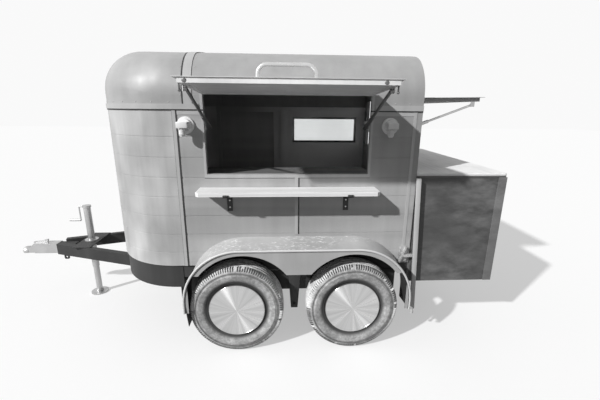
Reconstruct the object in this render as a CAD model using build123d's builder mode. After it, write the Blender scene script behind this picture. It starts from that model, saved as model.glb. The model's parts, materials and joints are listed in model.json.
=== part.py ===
# Food trailer: a tandem-axle, round-nosed box trailer with a serving hatch in
# its near side, a second hatch and a counter at the rear, and a timber shelf.
# Frame: origin at the centre of the tow ball, +X to the rear, -Y to the serving
# side, +Z up. All sizes are in millimetres.
import os
from math import atan2, cos, degrees, hypot, radians, sin, sqrt

from build123d import *

os.makedirs("parts", exist_ok=True)

# ---- driving dimensions ------------------------------------------------------
ball_height = 450  # ball centre above the ground
ball_radius = 25.4
ball_to_axles = 2500  # ball centre to the midpoint between the axles

axle_spacing = 851
tyre_radius = 343
tyre_width = 195
rim_radius = 190.5
wheel_stand = 151  # outer sidewall of a tyre beyond the side wall

half_width = 779
nose_overhang = 1420  # axle midpoint to the front of the nose
rear_overhang = 870  # axle midpoint to the rear end
nose_radius = 550
wall = 30
floor_height = 640
belt_height = 1786
roof_height = 2185
roof_crown = 40
shoulder_radius = 290

running_gap = 6  # round a closed hatch or door
fit_gap = 0.3  # between pieces that bear on each other and move
pin_gap = 0.05  # radial, a pin in its bore

# ---- stations worked out from them -------------------------------------------
ground = -ball_height
mid = ball_to_axles
front_axle = mid - axle_spacing / 2
rear_axle = mid + axle_spacing / 2
axle_z = ground + tyre_radius
nose_x = mid - nose_overhang
rear_x = mid + rear_overhang
floor_z = ground + floor_height
belt_z = ground + belt_height
roof_z = ground + roof_height
near = -half_width  # outside of the serving side
wheel_outer_face = half_width + wheel_stand
shoulder_span = half_width - shoulder_radius
crown_radius = (shoulder_span**2 + roof_crown**2) / (2 * roof_crown)


def block(low, high, mode=Mode.ADD):
    """Box between two opposite corners, in the builder that is open."""
    with Locations(tuple((a + b) / 2 for a, b in zip(low, high))):
        return Box(*(b - a for a, b in zip(low, high)), mode=mode)


def rod(start, end, radius, mode=Mode.ADD):
    """Round bar between two points, in the builder that is open."""
    axis = Vector(*end) - Vector(*start)
    with BuildSketch(Plane(origin=start, z_dir=axis)) as section:
        Circle(radius)
    return extrude(section.sketch, amount=axis.length, mode=mode)


def mirrored(piece):
    """The same piece on the far side of the centreline."""
    with BuildPart() as twin:
        add(piece.part.mirror(Plane.XZ))
    return twin


# ---- body shell --------------------------------------------------------------
def body_form(inset, bottom, rear):
    """Round-nosed, crowned box, drawn inset from the outside of the body."""
    top = roof_z - inset
    with BuildPart() as form:
        with BuildSketch(Plane.XY.offset(bottom)):
            with Locations(((nose_x + inset + rear) / 2, 0)):
                Rectangle(rear - nose_x - inset, 2 * (half_width - inset))
            fillet(vertices().group_by(Axis.X)[0], nose_radius - inset)
        extrude(amount=top - bottom)
        with BuildSketch(Plane.YZ):
            with Locations((0, roof_z - crown_radius)):
                Circle(crown_radius - inset)
        extrude(amount=rear + wall, mode=Mode.INTERSECT)
        roof_face = form.faces().sort_by(Axis.Z)[-1]
        rim = roof_face.edges().filter_by(lambda edge: edge.center().X < rear - 1)
        fillet(rim, shoulder_radius - inset)
    return form.part


outer_form = body_form(0, floor_z, rear_x)
with BuildPart() as shell:
    add(outer_form)
    add(body_form(wall, floor_z - wall, rear_x - wall), mode=Mode.SUBTRACT)

# Openings, each as (low corner, high corner)
hatch_height, hatch_below_roof = 554, 305
hatch_high = roof_z - hatch_below_roof
hatch_low = hatch_high - hatch_height
hatch_fore, hatch_aft = mid - 606, mid + 513
hatch_opening = ((hatch_fore, near - wall, hatch_low), (hatch_aft, near + 2 * wall, hatch_high))
rear_half_opening = 650
rear_height, rear_below_roof = 450, 335
rear_high = roof_z - rear_below_roof
rear_low = rear_high - rear_height
rear_opening = ((rear_x - 2 * wall, -rear_half_opening, rear_low),
                (rear_x + wall, rear_half_opening, rear_high))
window_length, window_height = 720, 280
window_fore, window_low = mid + 30, ground + 1400
window_aft, window_high = window_fore + window_length, window_low + window_height
window_opening = ((window_fore, half_width - 2 * wall, window_low),
                  (window_aft, half_width + wall, window_high))
door_width, door_height = 600, 840
door_fore, door_low = mid - 770, ground + 900
door_aft, door_high = door_fore + door_width, door_low + door_height
door_opening = ((door_fore, half_width - 2 * wall, door_low), (door_aft, half_width + wall, door_high))

# ---- mudguards and the wheel boxes behind them --------------------------------
guard_mid = mid + 24
guard_stand = 30  # rolled lip beyond the tyres
guard_reach = wheel_outer_face + guard_stand
guard_skin = 4
guard_wall_rise, guard_lip_rise = 174, 134  # guard above the top of the tyres, at the wall and at the lip
guard_wall_top = ground + 2 * tyre_radius + guard_wall_rise
guard_lip_top = ground + 2 * tyre_radius + guard_lip_rise
guard_wall_radius, guard_lip_radius = tyre_radius + 67, tyre_radius + 57
guard_wall_span, guard_lip_span = axle_spacing / 2 - 30.5, axle_spacing / 2 - 10.5  # to the arcs' centres
guard_foot = ground + 350
arch_inset = 35  # from the guard's edge on the wall to the hole in the wall
box_clearance = 23  # between a tyre and its wheel box
box_inner_face = wheel_outer_face - tyre_width - box_clearance
box_skin = 3


def arch_outline(span, radius, top, foot):
    """Long arch: a level top and a quarter round at each end, down to its foot."""
    with BuildLine() as outline:
        Polyline((guard_mid - span, top), (guard_mid + span, top))
        RadiusArc((guard_mid + span, top), (guard_mid + span + radius, top - radius), radius)
        Polyline((guard_mid + span + radius, top - radius), (guard_mid + span + radius, foot),
                 (guard_mid - span - radius, foot), (guard_mid - span - radius, top - radius))
        RadiusArc((guard_mid - span - radius, top - radius), (guard_mid - span, top), radius)
    make_face(outline.edges())


def arch_plane(y):
    """Upright plane along the trailer, with X to the rear and local Y up."""
    return Plane(origin=(0, y, 0), x_dir=(1, 0, 0), z_dir=(0, -1, 0))


def guard_form(inset, wall_y, lip_y, foot):
    """Solid arch that runs from the wall out to the lip, drawn inset."""
    with BuildPart() as form:
        with BuildSketch(arch_plane(wall_y)):
            arch_outline(guard_wall_span, guard_wall_radius - inset, guard_wall_top - inset, foot)
        with BuildSketch(arch_plane(lip_y)):
            arch_outline(guard_lip_span, guard_lip_radius - inset, guard_lip_top - inset, foot)
        loft(ruled=True)
    return form.part


skirt_radius = tyre_radius + 45
skirt_hub_height = axle_z + 57
skirt_dip = guard_lip_top - 182  # lower edge of the skirt between the wheels
lip_roll = 9  # radius of the rolled edge
lip_y = lip_roll - guard_reach


def lip_line():
    """Path of the rolled edge, in the plane of the lip."""
    span, radius = guard_lip_span, guard_lip_radius
    left, right = guard_mid - span - radius, guard_mid + span + radius
    with BuildLine(arch_plane(lip_y)) as path:
        Line((left, guard_foot), (left, guard_lip_top - radius))
        RadiusArc((left, guard_lip_top - radius), (guard_mid - span, guard_lip_top), radius)
        Line((guard_mid - span, guard_lip_top), (guard_mid + span, guard_lip_top))
        RadiusArc((guard_mid + span, guard_lip_top), (right, guard_lip_top - radius), radius)
        Line((right, guard_lip_top - radius), (right, guard_foot))
    return path.line


with BuildPart() as mudguard_near:
    add(guard_form(0, near, lip_y, guard_foot))
    add(guard_form(guard_skin, near + 1, lip_y - 1, guard_foot - 1), mode=Mode.SUBTRACT)
    half_skin = guard_skin / 2
    with BuildSketch(arch_plane(lip_y + guard_skin)):
        arch_outline(guard_lip_span, guard_lip_radius - half_skin, guard_lip_top - half_skin, guard_foot)
        with Locations(*((guard_mid + side * guard_wall_span, skirt_hub_height) for side in (-1, 1))):
            Circle(skirt_radius, mode=Mode.SUBTRACT)
        with Locations((guard_mid, skirt_dip - skirt_radius)):
            Rectangle(2 * (guard_wall_span + skirt_radius), 2 * skirt_radius, mode=Mode.SUBTRACT)
    extrude(amount=guard_skin)
    lip_path = lip_line()
    with BuildSketch(Plane(origin=lip_path @ 0, z_dir=lip_path % 0)):
        Circle(lip_roll)
    sweep(path=lip_path)
mudguard_far = mirrored(mudguard_near)

box_foot = floor_z - 80
box_outset = arch_inset + box_skin


def arch_solid(inset, start_y, end_y, foot):
    """The hole in the wall behind a guard, as a solid between two planes."""
    with BuildPart() as solid:
        with BuildSketch(arch_plane(start_y)):
            arch_outline(guard_wall_span, guard_wall_radius - inset, guard_wall_top - inset, guard_foot)
        extrude(amount=start_y - end_y)
        split(bisect_by=Plane.XY.offset(foot), keep=Keep.TOP)
    return solid.part


with BuildPart() as wheel_box_near:
    add(arch_solid(arch_inset, -box_inner_face + box_skin, near, box_foot))
    add(arch_solid(box_outset, -box_inner_face, near - 1, box_foot - 1), mode=Mode.SUBTRACT)
with BuildPart() as wheel_boxes:
    add(wheel_box_near.part)
    add(wheel_box_near.part.mirror(Plane.XZ))

# ---- body panels, cut from the shell where the sheets meet ---------------------
nose_seam_x = mid - 800
rib_x = mid - 100
strap_fore, strap_aft = mid - 730, mid - 675  # band over the roof joint
rib_depth, rib_width = 25, 40
stop_lap, stop_depth = 20, 16  # door stop: its lap on the wall and its thickness
swage_depth, swage_width = 2, 9
swage_pitch, swage_count = 139, 7
swage_low = ground + 741
arch_hole = arch_solid(arch_inset, near + 2 * wall, near - wall, floor_z - 1)
far = half_width + 1
inner = half_width - wall  # inside of a side wall
door_middle = ((door_fore + door_aft) / 2, (door_low + door_high) / 2)

# Shallow horizontal grooves that stiffen the wall sheets
with BuildPart() as swages:
    add(outer_form)
    add(body_form(swage_depth, floor_z - wall, rear_x + wall), mode=Mode.SUBTRACT)
    with BuildPart(mode=Mode.PRIVATE) as levels:
        for i in range(swage_count):
            z = swage_low + i * swage_pitch
            block((nose_x - 1, -far, z), (rear_x + 1, far, z + swage_width))
    add(levels.part, mode=Mode.INTERSECT)

with BuildPart() as nose_panel:
    add(shell.part)
    block((nose_x - 1, -far, floor_z - 1), (nose_seam_x, far, belt_z), mode=Mode.INTERSECT)
    add(swages.part, mode=Mode.SUBTRACT)

with BuildPart() as side_near:
    add(shell.part)
    block((nose_seam_x, -far, floor_z - 1), (rear_x + 1, near + wall, belt_z), mode=Mode.INTERSECT)
    block(*hatch_opening, mode=Mode.SUBTRACT)
    add(arch_hole, mode=Mode.SUBTRACT)
    add(swages.part, mode=Mode.SUBTRACT)

with BuildPart() as side_far:
    add(shell.part)
    block((nose_seam_x, half_width - wall, floor_z - 1), (rear_x + 1, far, belt_z), mode=Mode.INTERSECT)
    block(*door_opening, mode=Mode.SUBTRACT)
    block(*window_opening, mode=Mode.SUBTRACT)
    add(arch_hole.mirror(Plane.XZ), mode=Mode.SUBTRACT)
    add(swages.part, mode=Mode.SUBTRACT)
    block((nose_seam_x, inner - rib_depth, belt_z - rib_width), (rear_x - wall, inner, belt_z))
    block((rib_x, inner - rib_depth, guard_wall_top), (rib_x + rib_width, inner, belt_z))
    with BuildSketch(Plane.XZ.offset(running_gap / 2 - inner)):
        with Locations(door_middle):
            Rectangle(door_width + 2 * stop_lap, door_height + 2 * stop_lap)
            Rectangle(door_width - stop_lap, door_height - stop_lap, mode=Mode.SUBTRACT)
    extrude(amount=stop_depth)
    with BuildSketch(Plane.XZ.offset(-inner)):
        with Locations(door_middle):
            Rectangle(door_width + 2 * stop_lap, door_height + 2 * stop_lap)
            Rectangle(door_width, door_height, mode=Mode.SUBTRACT)
    extrude(amount=running_gap)

with BuildPart() as rear_panel:
    add(shell.part)
    block((rear_x - wall, near + wall, floor_z - 1), (rear_x + 1, inner, belt_z), mode=Mode.INTERSECT)
    block(*rear_opening, mode=Mode.SUBTRACT)

with BuildPart() as roof_front:
    add(shell.part)
    block((nose_x - 1, -far, belt_z), (strap_fore, far, roof_z + 1), mode=Mode.INTERSECT)

with BuildPart() as roof_main:
    add(shell.part)
    block((strap_fore, -far, belt_z), (rear_x + 1, far, roof_z + 1), mode=Mode.INTERSECT)
    block(*hatch_opening, mode=Mode.SUBTRACT)
    block(*rear_opening, mode=Mode.SUBTRACT)

# ---- mouldings ------------------------------------------------------------------
belt_width, belt_stand = 34, 8
belt_top = belt_z + belt_width
clear = half_width + 2 * wall  # outside everything on the walls
belt_hatch_gap = 30  # the belt stops this far from the hatch opening
strap_stand = 4
strip_width, strip_stand = 22, 3
corner_strip_x = mid + 820
centre_strip_x = mid + 11
sill_height, sill_stand = 26, 2  # frame strip under the hatch opening
casing_width, casing_lip = 18, 2  # frame strips beside the hatch opening, and their set-back from its edge
casing_top = roof_z - 330
head_height, head_drop = 26, 8  # light strip below the belt, and the dark gap between them

with BuildPart() as belt_moulding:
    add(body_form(-belt_stand, floor_z, rear_x))
    add(outer_form, mode=Mode.SUBTRACT)
    block((nose_x - wall, -clear, belt_z), (rear_x, clear, belt_top), mode=Mode.INTERSECT)
    block((hatch_fore - belt_hatch_gap, -clear, belt_z), (hatch_aft + belt_hatch_gap, 0, belt_top),
          mode=Mode.SUBTRACT)

with BuildPart() as roof_band:
    add(body_form(-strap_stand, floor_z, rear_x))
    add(outer_form, mode=Mode.SUBTRACT)
    block((strap_fore, -clear, belt_top), (strap_aft, clear, roof_z + wall), mode=Mode.INTERSECT)

strip_face = half_width + strip_stand
near_strips = ((nose_seam_x, floor_z, belt_z), (centre_strip_x, guard_lip_top + 60, hatch_low - sill_height),
               (corner_strip_x, floor_z, belt_z))
far_strips = ((nose_seam_x, floor_z, belt_z), (corner_strip_x, floor_z, belt_z))
with BuildPart() as seam_strips:
    for side, strips in ((-1, near_strips), (1, far_strips)):
        for x, low, high in strips:
            ys = sorted((side * half_width, side * strip_face))
            block((x - strip_width / 2, ys[0], low), (x + strip_width / 2, ys[1], high))
    add(roof_band.part)
    casing_fore, casing_aft = hatch_fore - casing_width, hatch_aft + casing_width
    casing_face = near - sill_stand
    block((casing_fore, casing_face, hatch_low - sill_height), (casing_aft, near, hatch_low - casing_lip))
    for low, high in ((casing_fore, hatch_fore - casing_lip), (hatch_aft + casing_lip, casing_aft)):
        block((low, casing_face, hatch_low - casing_lip), (high, near, casing_top))
    for low, high in ((nose_seam_x, casing_fore), (casing_aft, corner_strip_x)):
        block((low, casing_face, belt_z - head_drop - head_height), (high, near, belt_z - head_drop))

# ---- floor, chassis and drawbar -----------------------------------------------------
deck = 20
rim_depth, rim_width, rim_inset = 100, 50, 15
apron_depth, apron_skin = 180, 4
apron_aft = mid - 830
rail_inset, rail_width = 179, 50
rail_y = half_width - rail_inset
cross_width, cross_depth, cross_count = 40, 60, 7
cross_fore, cross_pitch = mid - 950, 280


def plan_face(inset, rear):
    """Plan outline of the body as a face, drawn inset."""
    with Locations(((nose_x + inset + rear) / 2, 0)):
        Rectangle(rear - nose_x - inset, 2 * (half_width - inset))
    fillet(vertices().group_by(Axis.X)[0], nose_radius - inset)


box_fore = guard_mid - guard_wall_span - guard_wall_radius + arch_inset
box_aft = guard_mid + guard_wall_span + guard_wall_radius - arch_inset
with BuildPart() as floor_deck:
    with BuildSketch(Plane.XY.offset(floor_z)):
        plan_face(wall, rear_x - wall)
    extrude(amount=deck)
    for side in (-1, 1):
        ys = sorted((side * (box_inner_face - box_skin), side * half_width))
        block((box_fore, ys[0], floor_z - 1), (box_aft, ys[1], floor_z + deck + 1), mode=Mode.SUBTRACT)

tongue_fore, tongue_aft, tongue_width, tongue_depth = 90, 460, 76, 80
arm_depth, arm_width = 100, 50
arm_fore, arm_aft = Vector(330, 60), Vector(mid - 900, rail_y - 100)
brace_x, brace_width = mid - 1250, 50  # crossmember between the arms
arm_slope = (arm_aft.Y - arm_fore.Y) / (arm_aft.X - arm_fore.X)
brace_half = arm_fore.Y + arm_slope * (brace_x + brace_width / 2 - arm_fore.X)
arm_z = ground + floor_height - rim_depth - arm_depth
jack_x, jack_radius = 600, 30
plate_thickness, plate_half, plate_reach = 8, 80, 190  # the plate that carries the jack
plate_low = arm_z + arm_depth
plate_top = plate_low + plate_thickness
chain_x, chain_y, chain_hole = 400, 84, 9
tab_thickness = 8
tab_length, tab_height, tab_drop, hole_drop = 44, 70, 12, 26

with BuildPart() as drawbar:
    for side in (-1, 1):
        start, end = Vector(arm_fore.X, side * arm_fore.Y), Vector(arm_aft.X, side * arm_aft.Y)
        run = end - start
        with BuildSketch(Plane.XY.offset(arm_z)):
            with Locations(Location((start + end) / 2, (0, 0, degrees(atan2(run.Y, run.X))))):
                Rectangle(run.length, arm_width)
        extrude(amount=arm_depth)
    block((tongue_fore, -tongue_width / 2, arm_z), (tongue_aft, tongue_width / 2, arm_z + tongue_depth))
    block((jack_x - plate_half, -plate_reach, plate_low), (jack_x + plate_half, plate_reach, plate_top))
    block((brace_x, -brace_half, arm_z), (brace_x + brace_width, brace_half, plate_low))
    with Locations((jack_x, 0, plate_low)):
        Cylinder(jack_radius + fit_gap, 4 * plate_thickness, mode=Mode.SUBTRACT)
    for side in (-1, 1):
        with BuildSketch(Plane.XZ.offset(-side * chain_y - tab_thickness / 2)):
            with Locations((chain_x, arm_z - tab_drop)):
                RectangleRounded(tab_length, tab_height, 12)
            with Locations((chain_x, arm_z - hole_drop)):
                Circle(chain_hole, mode=Mode.SUBTRACT)
        extrude(amount=tab_thickness)

with BuildPart() as chassis:
    with BuildSketch(Plane.XY.offset(floor_z - rim_depth)):
        plan_face(rim_inset, rear_x)
        with BuildSketch(mode=Mode.SUBTRACT):
            plan_face(rim_inset + rim_width, rear_x - rim_width)
    extrude(amount=rim_depth)
    for side in (-1, 1):
        ys = sorted((side * (box_inner_face - box_skin), side * far))
        block((box_fore - 2, ys[0], floor_z - rim_depth), (box_aft + 2, ys[1], floor_z), mode=Mode.SUBTRACT)
        ys = sorted((side * rail_y - rail_width / 2, side * rail_y + rail_width / 2))
        block((mid - 1200, ys[0], floor_z - rim_depth), (rear_x - rim_width / 2, ys[1], floor_z))
        outrigger = sorted((side * rail_y, side * (half_width - rim_inset - 2)))
        for x in (box_fore - 2 - cross_width, box_aft + 2):
            block((x, outrigger[0], floor_z - rim_depth), (x + cross_width, outrigger[1], floor_z))
    for i in range(cross_count):
        x = cross_fore + i * cross_pitch
        depth = rim_depth if i == 0 else cross_depth
        block((x, -rail_y, floor_z - depth), (x + cross_width, rail_y, floor_z))
    add(drawbar.part, mode=Mode.SUBTRACT)

with BuildPart() as nose_apron:
    with BuildSketch(Plane.XY.offset(floor_z - apron_depth)):
        plan_face(rim_inset - apron_skin - fit_gap, apron_aft)
        with BuildSketch(mode=Mode.SUBTRACT):
            plan_face(rim_inset - fit_gap, apron_aft + 1)
    extrude(amount=apron_depth)
    add(drawbar.part, mode=Mode.SUBTRACT)

# ---- coupling and jack ----------------------------------------------------------------
socket_radius = ball_radius + 0.6
head_radius, head_skirt = 40, 16
sleeve_skin = 6
sleeve_aft = 300
tongue_top = arm_z + tongue_depth
sleeve_top = tongue_top + sleeve_skin

with BuildPart() as coupling:
    Sphere(head_radius)
    block((-head_radius, -head_radius, -head_radius), (head_radius, head_radius, -head_skirt),
          mode=Mode.SUBTRACT)
    with BuildSketch(Plane.XZ):
        with BuildLine():
            Polyline((0, -head_skirt), (tongue_fore - 4, -head_skirt), (tongue_fore - 4, sleeve_top),
                     (30, head_radius - 8), (0, head_radius - 8), close=True)
        make_face()
    extrude(amount=tongue_width / 2 - 8, both=True)
    block((tongue_fore - 4, -tongue_width / 2 - sleeve_skin, -head_skirt),
          (sleeve_aft, tongue_width / 2 + sleeve_skin, sleeve_top))
    block((tongue_fore - 1, -tongue_width / 2 - fit_gap, -head_skirt - 1),
          (sleeve_aft + 1, tongue_width / 2 + fit_gap, tongue_top), mode=Mode.SUBTRACT)
    rod((0, 0, 0), (0, 0, -head_radius), socket_radius, mode=Mode.SUBTRACT)
    Sphere(socket_radius, mode=Mode.SUBTRACT)
    with BuildSketch(Plane.XZ):
        with BuildLine():
            Polyline((70, sleeve_top - 2), (190, sleeve_top - 2), (205, tongue_top + 40),
                     (170, tongue_top + 34), (150, tongue_top + 22), (70, tongue_top + 16), close=True)
        make_face()
    extrude(amount=9, both=True)

jack_bore = jack_radius - 4
jack_foot_top = ground + 12
jack_tube_low, jack_tube_high = ground + 280, ground + 870
leg_engaged = 240
foot_radius, collar_radius, cap_height = 75, 58, 18
crank_reach, crank_drop, crank_radius, grip_reach, grip_radius = 70, 130, 6, 170, 11

with BuildPart() as jack_tube:
    rod((jack_x, 0, jack_tube_low), (jack_x, 0, jack_tube_high), jack_radius)
    rod((jack_x, 0, jack_tube_low - 1), (jack_x, 0, jack_tube_high - 20), jack_bore, mode=Mode.SUBTRACT)
    rod((jack_x, 0, plate_top), (jack_x, 0, plate_top + plate_thickness), collar_radius)
    rod((jack_x, 0, plate_top - 1), (jack_x, 0, jack_tube_high - 20), jack_bore, mode=Mode.SUBTRACT)
    rod((jack_x, 0, jack_tube_high), (jack_x, 0, jack_tube_high + cap_height), jack_radius + 6)
    crank_x, crank_z = jack_x - crank_reach, jack_tube_high + cap_height / 2
    grip_z = jack_tube_high - crank_drop + crank_radius
    rod((jack_x, 0, crank_z), (crank_x - 5, 0, crank_z), 8)
    rod((crank_x, 0, crank_z), (crank_x, 0, jack_tube_high - crank_drop), crank_radius)
    rod((crank_x, 0, grip_z), (jack_x - grip_reach, 0, grip_z), grip_radius)

with BuildPart() as jack_leg:
    rod((jack_x, 0, ground), (jack_x, 0, jack_foot_top), foot_radius)
    rod((jack_x, 0, jack_foot_top), (jack_x, 0, jack_tube_low + leg_engaged), jack_bore - fit_gap)
    rod((jack_x, 0, jack_foot_top), (jack_x, 0, jack_foot_top + 20), jack_bore + 6)

# ---- axles and springs -------------------------------------------------------------------
axle_radius = 30
axle_half = wheel_outer_face - tyre_width - 35  # the axle beam stops inside the tyre
spindle_radius = 20
spindle_half = wheel_outer_face - 38  # the spindle stops inside the hub
backing_radius, backing_width = 122, 12
spring_y, spring_width, leaf, leaf_count = rail_y, 46, 8, 4
seat_top = axle_z + axle_radius + 8
spring_half, spring_rise = 345, 42
eye_radius, bolt_radius = 16, 7
clamp_length, clamp_half, clamp_thickness = 48, 36, 10  # plates that hold a spring to its axle
ear_skin = 6
rail_bottom = floor_z - rim_depth
eye_z = seat_top + (leaf_count - 0.5) * leaf + spring_rise

with BuildPart() as axles:
    for x in (front_axle, rear_axle):
        rod((x, -axle_half, axle_z), (x, axle_half, axle_z), axle_radius)
        rod((x, -spindle_half, axle_z), (x, spindle_half, axle_z), spindle_radius)
        for side in (-1, 1):
            backing = side * (axle_half + backing_width)
            rod((x, side * axle_half, axle_z), (x, backing, axle_z), backing_radius)
            block((x - axle_radius, side * spring_y - spring_width / 2, axle_z),
                  (x + axle_radius, side * spring_y + spring_width / 2, seat_top))


def leaf_spring(axle_x):
    """Four arched leaves clamped over an axle, with rolled eyes on the longest."""
    for i in range(leaf_count):
        reach = 1 - 0.2 * (leaf_count - 1 - i)
        half, rise = spring_half * reach, spring_rise * reach**2
        low = seat_top + i * leaf
        with BuildSketch(Plane.XZ.offset(-side * spring_y - spring_width / 2)) as section:
            with BuildLine() as outline:
                for z in (low, low + leaf):
                    ThreePointArc((axle_x - half, z + rise), (axle_x, z), (axle_x + half, z + rise))
                for x in (axle_x - half, axle_x + half):
                    Line((x, low + rise), (x, low + rise + leaf))
            make_face(outline.edges())
        extrude(section.sketch, amount=spring_width)
    y = side * spring_y
    for x in (axle_x - spring_half, axle_x + spring_half):
        rod((x, y - spring_width / 2, eye_z), (x, y + spring_width / 2, eye_z), eye_radius)
    clamp_low, clamp_top = axle_z - axle_radius, seat_top + leaf_count * leaf
    for low in (clamp_low - clamp_thickness, clamp_top):
        block((axle_x - clamp_length, y - clamp_half, low),
              (axle_x + clamp_length, y + clamp_half, low + clamp_thickness))
    for dx in (10 - clamp_length, clamp_length - 10):
        for dy in (6 - clamp_half, clamp_half - 6):
            rod((axle_x + dx, y + dy, clamp_low - 14), (axle_x + dx, y + dy, clamp_top + 16), 6)


def hanger(x, half_length, bolt_xs):
    """Two ears under the rail with the bolts that carry the spring ends."""
    for ear in (-1, 1):
        y = side * spring_y + ear * (spring_width / 2 + ear_skin / 2 + 1)
        with BuildSketch(Plane.XZ.offset(-y - ear_skin / 2)) as plate:
            with BuildLine() as outline:
                Polyline((x - half_length - 20, rail_bottom), (x + half_length + 20, rail_bottom),
                         (x + half_length + 14, eye_z - 24), (x - half_length - 14, eye_z - 24), close=True)
            make_face(outline.edges())
            fillet(plate.vertices().sort_by(Axis.Y)[:2], 12)  # the two lower corners
        extrude(plate.sketch, amount=ear_skin)
    for bolt_x in bolt_xs:
        rod((bolt_x, side * spring_y - 42, eye_z), (bolt_x, side * spring_y + 42, eye_z), bolt_radius)


with BuildPart() as suspension:
    for side in (-1, 1):
        for axle_x in (front_axle, rear_axle):
            leaf_spring(axle_x)
        hanger(front_axle - spring_half, 22, (front_axle - spring_half,))
        hanger(rear_axle + spring_half, 22, (rear_axle + spring_half,))
        hanger(mid, 96, (front_axle + spring_half, rear_axle - spring_half))

# ---- wheels ------------------------------------------------------------------------------
wheel_y = wheel_outer_face - tyre_width / 2
bead_half = 75
bead_outer = 209  # where the sidewall leaves the rim's flange
tread_half, tread_crown = tyre_width / 2 - 31.5, 3
hub_radius = 62
hub_in, hub_out = 75, 72  # inboard and outboard of the wheel's middle
cap_radius, cap_skin, cap_dome = 207, 3, 10
cap_seat = bead_half + 6 + fit_gap  # the cap is pressed on the rim's outer flange
drum_radius, drum_in = 128, 115
disc_set = 38  # outer face of the wheel's disc, outboard of its middle

# One near-side wheel about the origin; its axis is Y and its outside faces -Y
with BuildPart() as tyre_form:
    with BuildSketch(Plane.XY):
        with BuildLine():
            Line((rim_radius + fit_gap, -bead_half), (rim_radius + fit_gap, bead_half))
            for side in (-1, 1):
                bead = (bead_outer, side * bead_half)
                shoulder = (tyre_radius - 25, side * (tyre_width / 2 - 11.5))
                edge = (tyre_radius - tread_crown, side * tread_half)
                Line((rim_radius + fit_gap, side * bead_half), bead)
                ThreePointArc(bead, (tyre_radius - 81, side * tyre_width / 2), shoulder)
                ThreePointArc(shoulder, (tyre_radius - 12, side * (tyre_width / 2 - 18.5)), edge)
            ThreePointArc((tyre_radius - tread_crown, -tread_half), (tyre_radius, 0),
                          (tyre_radius - tread_crown, tread_half))
        make_face()
    revolve(axis=Axis.Y)

with BuildPart() as rim_form:
    with BuildSketch(Plane.XY):
        with Locations((rim_radius - 4, 0)):
            Rectangle(8, 2 * (bead_half + fit_gap + 1))
        for side in (-1, 1):
            with Locations((rim_radius + 3, side * (bead_half + 3 + fit_gap))):
                Rectangle(22, 6)
        with BuildLine():
            Polyline((rim_radius - 6, -10), (rim_radius - 45, -disc_set), (hub_radius - 4, -disc_set),
                     (hub_radius - 4, 8 - disc_set), (rim_radius - 48, 8 - disc_set), (rim_radius - 6, 0),
                     close=True)
        make_face()
        with Locations(((spindle_radius + pin_gap + hub_radius) / 2, (hub_in - hub_out) / 2)):
            Rectangle(hub_radius - spindle_radius - pin_gap, hub_in + hub_out)
        with Locations((hub_radius / 2, -hub_out + 3)):
            Rectangle(hub_radius, 6)
        with Locations(((spindle_radius + 20 + drum_radius) / 2, hub_in - 5)):
            Rectangle(drum_radius - spindle_radius - 20, 10)
        with Locations((drum_radius - 5, (hub_in + drum_in) / 2 - 5)):
            Rectangle(10, drum_in - hub_in + 10)
        with BuildLine():
            cap_sphere = (cap_radius**2 + cap_dome**2) / (2 * cap_dome)
            cap_mid = sqrt(cap_sphere**2 - (cap_radius / 2) ** 2) - cap_sphere + cap_dome
            cap_face = ThreePointArc((0, -cap_seat - cap_dome - cap_skin),
                                     (cap_radius / 2, -cap_seat - cap_mid - cap_skin),
                                     (cap_radius, -cap_seat - cap_skin))
            Line(cap_face @ 1, (cap_radius, -cap_seat))
            cap_back = ThreePointArc((cap_radius, -cap_seat), (cap_radius / 2, -cap_seat - cap_mid),
                                     (0, -cap_seat - cap_dome))
            Line(cap_back @ 1, cap_face @ 0)
        make_face()
    revolve(axis=Axis.Y)

pieces = {}
for axle_name, x in (("front", front_axle), ("rear", rear_axle)):
    for side_name, side in (("near", -1), ("far", 1)):
        for kind, form in (("tyre", tyre_form), ("wheel", rim_form)):
            with BuildPart() as wheel_piece:
                with Locations((x, -wheel_y, axle_z)):
                    add(form.part)
            if side > 0:
                wheel_piece = mirrored(wheel_piece)
            pieces[f"{kind}_{axle_name}_{side_name}"] = wheel_piece

# ---- serving hatch, hinged at its top edge and drawn closed, then swung open -------------
frame_depth, frame_width = 27, 30
liner_skin, liner_set = 2, 4  # sheet that closes the inside of a hatch, set in from its frame
skin = 3
flange = 24  # skin beyond the frame at the sides
seal = 5  # between a closed skin and the wall
axis_stand, axis_rise = 13, 6  # a hatch's hinge pin, out from the wall and above the opening
hatch_axis_y, hatch_axis_z = near - axis_stand, hatch_high + axis_rise
hatch_open = 93.5
hatch_pivot = Axis((0, hatch_axis_y, hatch_axis_z), (1, 0, 0))
barrel_radius, pin_radius = 5, 2.5
knuckle, knuckle_count = 120, 9
leaf_rise, leaf_skin = 6, 3  # hinge leaf above its pin, and its thickness
skin_inner = near - seal
stay_inset = 23  # opening edge to the middle of a stay
tube_radius, rod_radius = 13.5, 9.5
lug_skin, lug_half, lug_round = 5, 14, 12  # thickness, half height and metal beyond the stud
foot_half, foot_skin, foot_reach, foot_lip = 30, 4, 45, 3  # plate that carries a stay's foot
eye_width, eye_disc = 12, 11
stud_radius = 6
eye_drop, pivot_drop = 452, 235  # a stay's head below the hinge pin, its foot below the opening's top
hatch_eye_y, hatch_eye_z = near + 39, hatch_axis_z - eye_drop
stay_pivot_y, stay_pivot_z = near + 44, hatch_high - pivot_drop
grab_fore, grab_aft = mid - 280, mid + 140
grab_stand, grab_radius = 62, 9
hinge_mid = (hatch_fore + hatch_aft) / 2


def upright_face(fore, aft, low, high):
    """Rectangle in an upright plane along the trailer."""
    with Locations(((fore + aft) / 2, (low + high) / 2)):
        Rectangle(aft - fore, high - low)


frame_fore, frame_aft = hatch_fore + running_gap, hatch_aft - running_gap
frame_low, frame_high = hatch_low + running_gap, hatch_high - running_gap

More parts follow.
